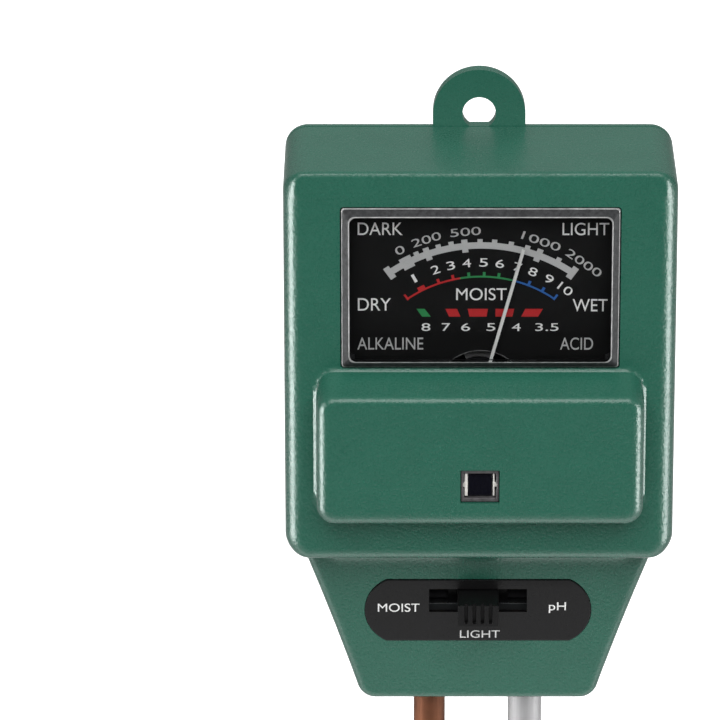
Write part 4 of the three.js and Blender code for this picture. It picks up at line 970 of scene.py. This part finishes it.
def flat_patch(outline, y):
    """A thin slab of print in the dial's plane, with its back at y."""
    count = len(outline)
    points = [(x, y, z) for x, z in outline] + [(x, y - PRINT_THICKNESS, z) for x, z in outline]
    faces = [tuple(range(count)), tuple(range(2 * count - 1, count - 1, -1))]
    faces += [(i, (i + 1) % count, count + (i + 1) % count, count + i) for i in range(count)]
    return np.array(points), faces


def layered(shapes):
    return [flat_patch(shape, PRINT_Y - PRINT_LAYER * i) for i, shape in enumerate(shapes)]


def dial_point(radius, angle):
    """A point of the dial at an angle clockwise from straight up."""
    a = math.radians(angle)
    return PRINT_X + radius * math.sin(a), PRINT_Z + radius * math.cos(a)


def band(r0, r1, start, end):
    """Part of a ring about the pivot, from start to end degrees."""
    steps = max(int(abs(end - start) / 1.5), 1)
    angles = np.linspace(start, end, steps + 1)
    return [dial_point(r1, a) for a in angles] + [dial_point(r0, a) for a in reversed(angles)]


def tick(r0, r1, angle, width):
    """A radial bar of constant width."""
    a = math.radians(angle)
    across = (math.cos(a) * width / 2, -math.sin(a) * width / 2)
    (x0, z0), (x1, z1) = dial_point(r0, angle), dial_point(r1, angle)
    return [
        (x0 - across[0], z0 - across[1]), (x0 + across[0], z0 + across[1]),
        (x1 + across[0], z1 + across[1]), (x1 - across[0], z1 - across[1]),
    ]


def number(text, radius, angle, width, height):
    """A number standing on the scale, upright at its own angle."""
    cx, cz = dial_point(radius, angle)
    box = (cx - width / 2, cx + width / 2, cz - height / 2, cz + height / 2)
    return fitted_text(text, *box, PRINT_Y, turn=angle, about=(cx, cz))


def print_piece(name, parts, ink, matrix=None):
    """One piece of print on the case, from several (points, faces) parts."""
    points, faces, start = [], [], 0
    for part_points, part_faces in parts:
        points += [tuple(p) for p in part_points]
        faces += [tuple(start + i for i in face) for face in part_faces]
        start += len(part_points)
    made = new_object(name, points, faces, matrix)
    weld(made)
    outward(made)
    made.data.materials.append(MATERIALS[ink])
    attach(made, "case")


LIGHT_SCALE = (25.3, 26.4)
MOIST_SCALE = (20.3, 20.6)
LIGHT_NUMBER_R = 28.3
LIGHT_NUMBER_HEIGHT = 1.4
MOIST_NUMBER_R = 22.9
MOIST_NUMBER_HEIGHT = 1.45
PH_NUMBER_Z = (68.92, 70.27)
PH_BLOCK_Z = (71.42, 72.77)
DIAL_NOTCH_R = 7.5

# Each word's text, left, right, foot and top
WHITE_WORDS = (
    ("DARK", -19.95, -12.65, 85.57, 87.72),
    ("LIGHT", 13.35, 20.95, 85.52, 87.67),
    ("DRY", -19.95, -14.55, 72.47, 74.62),
    ("MOIST", -3.9, 4.35, 74.27, 76.37),
    ("WET", 15.15, 20.85, 72.32, 74.47),
)
GREY_WORDS = (
    ("ALKALINE", -20.05, -9.25, 65.67, 67.77),
    ("ACID", 13.15, 18.55, 65.62, 67.77),
)

# Each number's text, its angle or its x, and its width
MOIST_NUMBERS = (
    ("1", -28.4, 0.5), ("2", -19, 1.35), ("3", -12.5, 1.35), ("4", -5.9, 1.4), ("5", 1, 1.4),
    ("6", 7.7, 1.4), ("7", 15.1, 1.35), ("8", 21.7, 1.4), ("9", 29, 1.4), ("10", 37, 2.5),
)
PH_NUMBERS = (
    ("8", -8.82, 1.45), ("7", -5.53, 1.4), ("6", -2.33, 1.45),
    ("5", 1.81, 1.45), ("4", 5.95, 1.45), ("3.5", 10.96, 3.8),
)
LIGHT_NUMBERS = (
    ("0", -27.9, 1.5), ("200", -18.4, 4.9), ("500", -5.2, 5.0), ("1000", 20.2, 6.6), ("2000", 36.3, 6.8),
)

# Left and right of each pH block's top and then of its foot
RED_BLOCKS = (
    (-5.65, -3.75, -5.05, -3.2), (-2.0, 1.3, -1.7, 1.1), (2.55, 5.6, 2.55, 5.3), (7.4, 10.3, 6.75, 9.5),
)
GREEN_BLOCK = (-10.35, -9.05, -9.45, -8.05)


def light_scale():
    """The grey light scale: a thick arc with T ends, a fat mark, and short and long ticks."""
    inner, outer = LIGHT_SCALE
    shapes = [band(inner, outer, -35, 35), band(inner - 0.5, outer + 0.5, -30, -25.6)]
    shapes += [tick(inner - 0.6, outer + 0.55, angle, 1.05) for angle in (-35.2, 35.2)]
    shapes += [tick(inner - 0.55, outer + 0.6, angle, 1.0) for angle in (-19.7, -5.9, 21.1)]
    shapes += [tick(outer - 0.1, outer + 0.55, angle, 0.85)
               for angle in (-23.4, -15.2, -10.6, -0.4, 4.7, 10.6, 16.5, 28.4)]
    return layered(shapes)


def moist_scale(start, end, ticks, hooks=(), blocks=()):
    """One colour of the moisture scale: thin arc, ticks, hooks at its ends, and broad marks."""
    inner, outer = MOIST_SCALE
    shapes = [band(inner, outer, start, end)]
    shapes += [tick(outer - 0.1, outer + 0.65, angle, 0.45) for angle in ticks]
    shapes += [tick(inner - 0.05, outer + 0.75, angle, 0.35) for angle in hooks]
    shapes += [tick(outer - 0.1, outer + 0.6, angle, 1.25) for angle in blocks]
    return layered(shapes)


def ph_block(top0, top1, foot0, foot1):
    foot, top = PH_BLOCK_Z
    return flat_patch([(foot0, foot), (foot1, foot), (top1, top), (top0, top)], PRINT_Y)


def ring_of_numbers(numbers, radius, height):
    return [number(text, radius, angle, width, height) for text, angle, width in numbers]


def dial_print():
    white = [fitted_text(*word, PRINT_Y) for word in WHITE_WORDS]
    white += ring_of_numbers(MOIST_NUMBERS, MOIST_NUMBER_R, MOIST_NUMBER_HEIGHT)
    white += [fitted_text(text, x - w / 2, x + w / 2, *PH_NUMBER_Z, PRINT_Y) for text, x, w in PH_NUMBERS]
    print_piece("dial_print_white", white, "print_white")
    grey = ring_of_numbers(LIGHT_NUMBERS, LIGHT_NUMBER_R, LIGHT_NUMBER_HEIGHT)
    grey += [fitted_text(*word, PRINT_Y) for word in GREY_WORDS]
    print_piece("dial_print_grey", grey + light_scale(), "print_grey")
    red = moist_scale(-36, -9.6, (-19.5, -12.7), (-35.8,), (-27.8,))
    red += [ph_block(*places) for places in RED_BLOCKS]
    print_piece("dial_print_red", red, "print_red")
    green = moist_scale(-9.6, 14.6, (-5.5, 1.4, 8)) + [ph_block(*GREEN_BLOCK)]
    print_piece("dial_print_green", green, "print_green")
    blue = moist_scale(14.6, 36, (22.2, 29.1), (35.8,))
    print_piece("dial_print_blue", blue, "print_blue")
    notch_edge_highlight()


def notch_edge_highlight():
    """A thin grey line painted on the dial face along the notch and along the straight step beside it: the
    grey of the bare cut edge, with the edge's highlight painted in.
    """
    arch = [flat_patch(band(DIAL_NOTCH_R + 0.02, DIAL_NOTCH_R + 0.14, -80, 80), PRINT_Y)]
    half, reach, z = 0.06, 9.3, 63.85
    steps = [[(x0, z - half), (x1, z - half), (x1, z + half), (x0, z + half)]
             for x0, x1 in ((-reach, -4.6), (4.6, reach))]
    print_piece("dial_notch_edge", arch + [flat_patch(step, PRINT_Y) for step in steps], "notch_edge_highlight")


# ---- Switch ----


def inset_rings(outline_of, y_front, y_back, edge):
    """Rings for a plate whose front edge is rounded: outline_of(inset) gives the outline."""
    return [
        (y_front, outline_of(edge)),
        (y_front + 0.3 * edge, outline_of(0.3 * edge)),
        (y_front + edge, outline_of(0)),
        (y_back, outline_of(0)),
    ]


SWITCH_LABELS = (
    ("MOIST", -16.8, -9.8, 16.5, 18.05),
    ("LIGHT", -3.0, 3.7, 11.6, 13.0),
    ("pH", 11.9, 14.75, 16.3, 18.3),
)


def switch_plate():
    rings = inset_rings(lambda inset: plate_outline(-inset), *PLATE_Y, PLATE_EDGE_R)
    plate = loft("switch_plate_face", rings, NECK_PLANE)
    cut(plate, prism("slot", rounded_rect(*SLOT, 0.15), -2, 2, NECK_PLANE))
    bevel(plate, 0.09, 2, 60)
    shade(plate)
    piece(plate, "case", "plate_black", "switch_plate")
    parts = [fitted_text(*label, PLATE_Y[0] - 0.01) for label in SWITCH_LABELS]
    print_piece("switch_plate_print", parts, "print_white", NECK_PLANE)


def knob():
    """A capped stem with five ribs on its face, over the carriage inside the frame."""
    half, tall, front = KNOB_HALF_WIDTH, KNOB_HALF_HEIGHT, KNOB_FRONT_Y
    cap = prism("switch_knob_ribbed", rounded_rect(-half, half, SWITCH_Z - tall, SWITCH_Z + tall, 0.25),
                front, 3.6, NECK_PLANE)
    wide, high = CARRIAGE_HALF_WIDTH, CARRIAGE_HALF_HEIGHT
    join(cap, block("carriage", -wide, wide, *CARRIAGE_Y, SWITCH_Z - high, SWITCH_Z + high, NECK_PLANE))
    pitch = 2 * half / KNOB_RIBS
    grooves = [
        block("groove", x - GROOVE_HALF_WIDTH, x + GROOVE_HALF_WIDTH, front - 1, front + GROOVE_DEPTH,
              SWITCH_Z - GROOVE_BELOW, SWITCH_Z + 3, NECK_PLANE)
        for x in (pitch * (i + 1 - KNOB_RIBS / 2) for i in range(KNOB_RIBS - 1))
    ]
    cut(cap, *grooves)
    bevel(cap, 0.12, 2)
    shade(cap)
    piece(cap, "switch", "knob_black", "switch_knob")


# ---- Light cell ----


def pair(name, x, half_width, y0, y1, half_height):
    """Two like blocks, left and right of the light cell's middle."""
    z = CELL_MIDDLE_Z
    return [
        block(name, side * x - half_width, side * x + half_width, y0, y1, z - half_height, z + half_height)
        for side in (-1, 1)
    ]


def cell_holder():
    """A tray with a flange behind the brow's wall, and room for the contacts' legs and tabs."""
    z, y = CELL_MIDDLE_Z, BROW_FRONT_Y
    tray = rounded_rect(-3.05, 3.05, z - 2.75, z + 2.75, 0.15)
    pocket = rounded_rect(-2.65, 2.65, z - 2.2, z + 2.2, 0.1)
    holder = prism("photocell_holder_tray", tray, y + 0.5, y + 2.2)
    join(holder, block("flange", -4.6, 4.6, y + 2.1, y + 3.3, z - 3.8, z + 3.8))
    legs = pair("leg", 2.3, 0.35, y, y + 5, 0.6)
    tabs = pair("tab", 2.45, 0.4, y, y + 1.6, 0.45)
    cut(holder, prism("pocket", pocket, y, y + 2.3), *legs, *tabs)
    bevel(holder, 0.03, 1)
    shade(holder)
    piece(holder, "case", "cell_frame", "photocell_holder")


def cell_contact(name, side, half_width):
    """A contact strip beside the cell, with a leg behind and a tab that points outwards."""
    z, y = CELL_MIDDLE_Z, BROW_FRONT_Y
    face = rounded_rect(side * 2.25 - half_width, side * 2.25 + half_width, z - 1.95, z + 1.95, 0.05)
    strip = prism(f"photocell_contact_{name}_strip", face, y + 1.1, y + 2.2)
    leg = block("leg", side * 2.3 - 0.15, side * 2.3 + 0.15, y + 2, y + 5, z - 0.45, z + 0.45)
    tab = block("tab", side * 2.5 - 0.3, side * 2.5 + 0.3, y + 1.15, y + 1.4, z - 0.38, z + 0.38)
    join(strip, leg, tab)
    bevel(strip, 0.05, 2)
    shade(strip)
    piece(strip, "case", "tinned", f"photocell_contact_{name}")


# ---- Probes ----


TIP_LENGTH = 1.4
TAPER_LENGTH = 11.6
SHOULDER_TOP_Z = 5.2
SHOULDER_CHAMFER = 0.2
STUD_R = 1.5
STUD_CHAMFER = 0.4


def probe(name, low, high, slot):
    """A drawn rod: long point, straight shank, shoulder and stud."""
    radius = (high[0] - low[0]) / 2
    x = (low[0] + high[0]) / 2
    tip, top = low[2], high[2]
    point = [(0, tip), (0.35 * radius, tip + 0.35), (0.5 * radius, tip + TIP_LENGTH)]
    point += [(radius * (0.5 + 0.5 * math.sin(t * math.pi / 2)), tip + TIP_LENGTH + TAPER_LENGTH * t)
              for t in (0.2, 0.4, 0.6, 0.8, 1.0)]
    shank = [(radius, z) for z in (-100, -50, SHOULDER_TOP_Z - SHOULDER_CHAMFER)]
    shank.append((radius - SHOULDER_CHAMFER, SHOULDER_TOP_Z))
    stud = [(STUD_R, SHOULDER_TOP_Z), (STUD_R, top - STUD_CHAMFER), (STUD_R - STUD_CHAMFER, top), (0, top)]
    made = lathe(f"{name}_rod", point + shank + stud, 64, x)
    shade(made)
    piece(made, "case", slot, name)


# ---- CAD nodes that stay ----


CAD_EDGE = 0.04


def finish_cad_nodes():
    """Every CAD node that is still shown gets its slot's finish, with its edges broken."""
    slots = {row["node"]: row["material_slot"] for row in frame["record"]["subparts"]}
    for name, obj in frame["nodes"].items():
        obj.data.materials.clear()
        obj.data.materials.append(MATERIALS[slots[name]])
        if obj.hide_render:
            continue
        merge = obj.modifiers.new("merge", "WELD")
        merge.merge_threshold = SEAM_WELD
        edge = obj.modifiers.new("edge", "BEVEL")
        edge.width = CAD_EDGE * MM
        edge.segments = 1
        edge.limit_method = "ANGLE"
        edge.angle_limit = math.radians(50)


# ---- Stage ----

CAMERA_DISTANCE = 0.95
CAMERA_ELEVATION = math.radians(20.7)
CAMERA_TARGET = Vector((-0.0126, -0.0175, 0.0653))
CAMERA_LENS = 291.0
CAMERA_SHIFT = -0.0595


def add_light(name, location, target, energy, size, diffuse=True, glossy=True):
    """An area light that the camera never sees, and that diffuse or glossy rays may not see either."""
    data = bpy.data.lights.new(name, "AREA")
    data.energy = energy
    data.shape = "RECTANGLE"
    data.size, data.size_y = size
    light = bpy.data.objects.new(name, data)
    light.location = location
    light.rotation_euler = (Vector(target) - Vector(location)).to_track_quat("-Z", "Y").to_euler()
    light.visible_camera = False
    light.visible_diffuse = diffuse
    light.visible_glossy = glossy
    bpy.context.scene.collection.objects.link(light)


def seen_by_camera(tree):
    return node(tree, "ShaderNodeLightPath").outputs["Is Camera Ray"]


def stage():
    """A white floor that ends in front of the meter, so that its face reflects the dark beyond, and
    that can be seen through from below."""
    points = [(-3000, -450, FLOOR_Z), (3000, -450, FLOOR_Z), (3000, 5000, FLOOR_Z), (-3000, 5000, FLOOR_Z)]
    floor = new_object("floor", points, [(0, 1, 2, 3)])
    pale = surface("floor_pale", (0.8, 0.8, 0.8), 0.7, grain=3, depth=0.05, mottle=0.01, mottle_size=80)
    tree = pale.node_tree
    shader = tree.nodes["Principled BSDF"]
    glow = remap(tree, seen_by_camera(tree), 0, 0.75, (0, 1))
    fill(tree, shader, {"Emission Color": (1, 1, 1, 1), "Emission Strength": glow})
    below = node(tree, "ShaderNodeNewGeometry").outputs["Backfacing"]
    mix = mix_shaders(tree, below, shader, node(tree, "ShaderNodeBsdfTransparent"))
    tree.links.new(mix, tree.nodes["Material Output"].inputs["Surface"])
    floor.data.materials.append(pale)


def world():
    """An even room above the horizon and darkness below it; white where the camera sees it."""
    made = bpy.data.worlds.new("room")
    bpy.context.scene.world = made
    made.use_nodes = True
    tree = made.node_tree
    ahead = node(tree, "ShaderNodeTexCoord").outputs["Generated"]
    split = node(tree, "ShaderNodeSeparateXYZ", {"Vector": ahead})
    level = remap(tree, split.outputs["Z"], 0.02, 0.33, (-0.06, 0.06))
    pale = node(tree, "ShaderNodeMath", operation="MAXIMUM")
    tree.links.new(level, pale.inputs[0])
    tree.links.new(seen_by_camera(tree), pale.inputs[1])
    fill(tree, tree.nodes["Background"], {"Color": (1, 1, 1, 1), "Strength": pale.outputs["Value"]})


def camera():
    data = bpy.data.cameras.new("camera")
    data.sensor_width = 36
    data.lens = CAMERA_LENS
    data.shift_x = CAMERA_SHIFT
    made = bpy.data.objects.new("camera", data)
    ahead = Vector((0, math.cos(CAMERA_ELEVATION), -math.sin(CAMERA_ELEVATION)))
    made.location = CAMERA_TARGET - ahead * CAMERA_DISTANCE
    made.rotation_euler = ahead.to_track_quat("-Z", "Y").to_euler()
    bpy.context.scene.collection.objects.link(made)
    bpy.context.scene.camera = made


def lights():
    """Broad light from above, and strips and a card that only show as highlights on the edges."""
    middle = (0, 0, 0.03)
    add_light("front", (0, -0.85, 0.85), middle, 14.6, (1.2, 0.9))
    add_light("top", (0, -0.1, 0.9), middle, 0.55, (0.9, 0.7))
    add_light("back", (0, 0.9, 0.5), middle, 5.0, (0.9, 0.7), glossy=False)
    for name, x, energy in (("left", -0.4, 3.1), ("right", 0.4, 2.4)):
        add_light(name, (x, -0.14, -0.04), (0, 0, 0.02), energy, (0.2, 0.26), diffuse=False)
    add_light("card", (0, -0.085, -0.187), (0, -0.085, 0), 0.35, (0.5, 0.15), diffuse=False)


def colours():
    view = bpy.context.scene.view_settings
    view.view_transform = "Standard"
    view.look = "None"


front_shell()
rear_cover()
cover_screws()
window_lens()
dial_print()
switch_plate()
knob()
cell_holder()
cell_contact("left", -1, 0.24)
cell_contact("right", 1, 0.12)
probe("probe_copper", COPPER_LOW, COPPER_HIGH, "copper")
probe("probe_aluminium", ALUMINIUM_LOW, ALUMINIUM_HIGH, "aluminium")
finish_cad_nodes()
stage()
world()
lights()
camera()
colours()
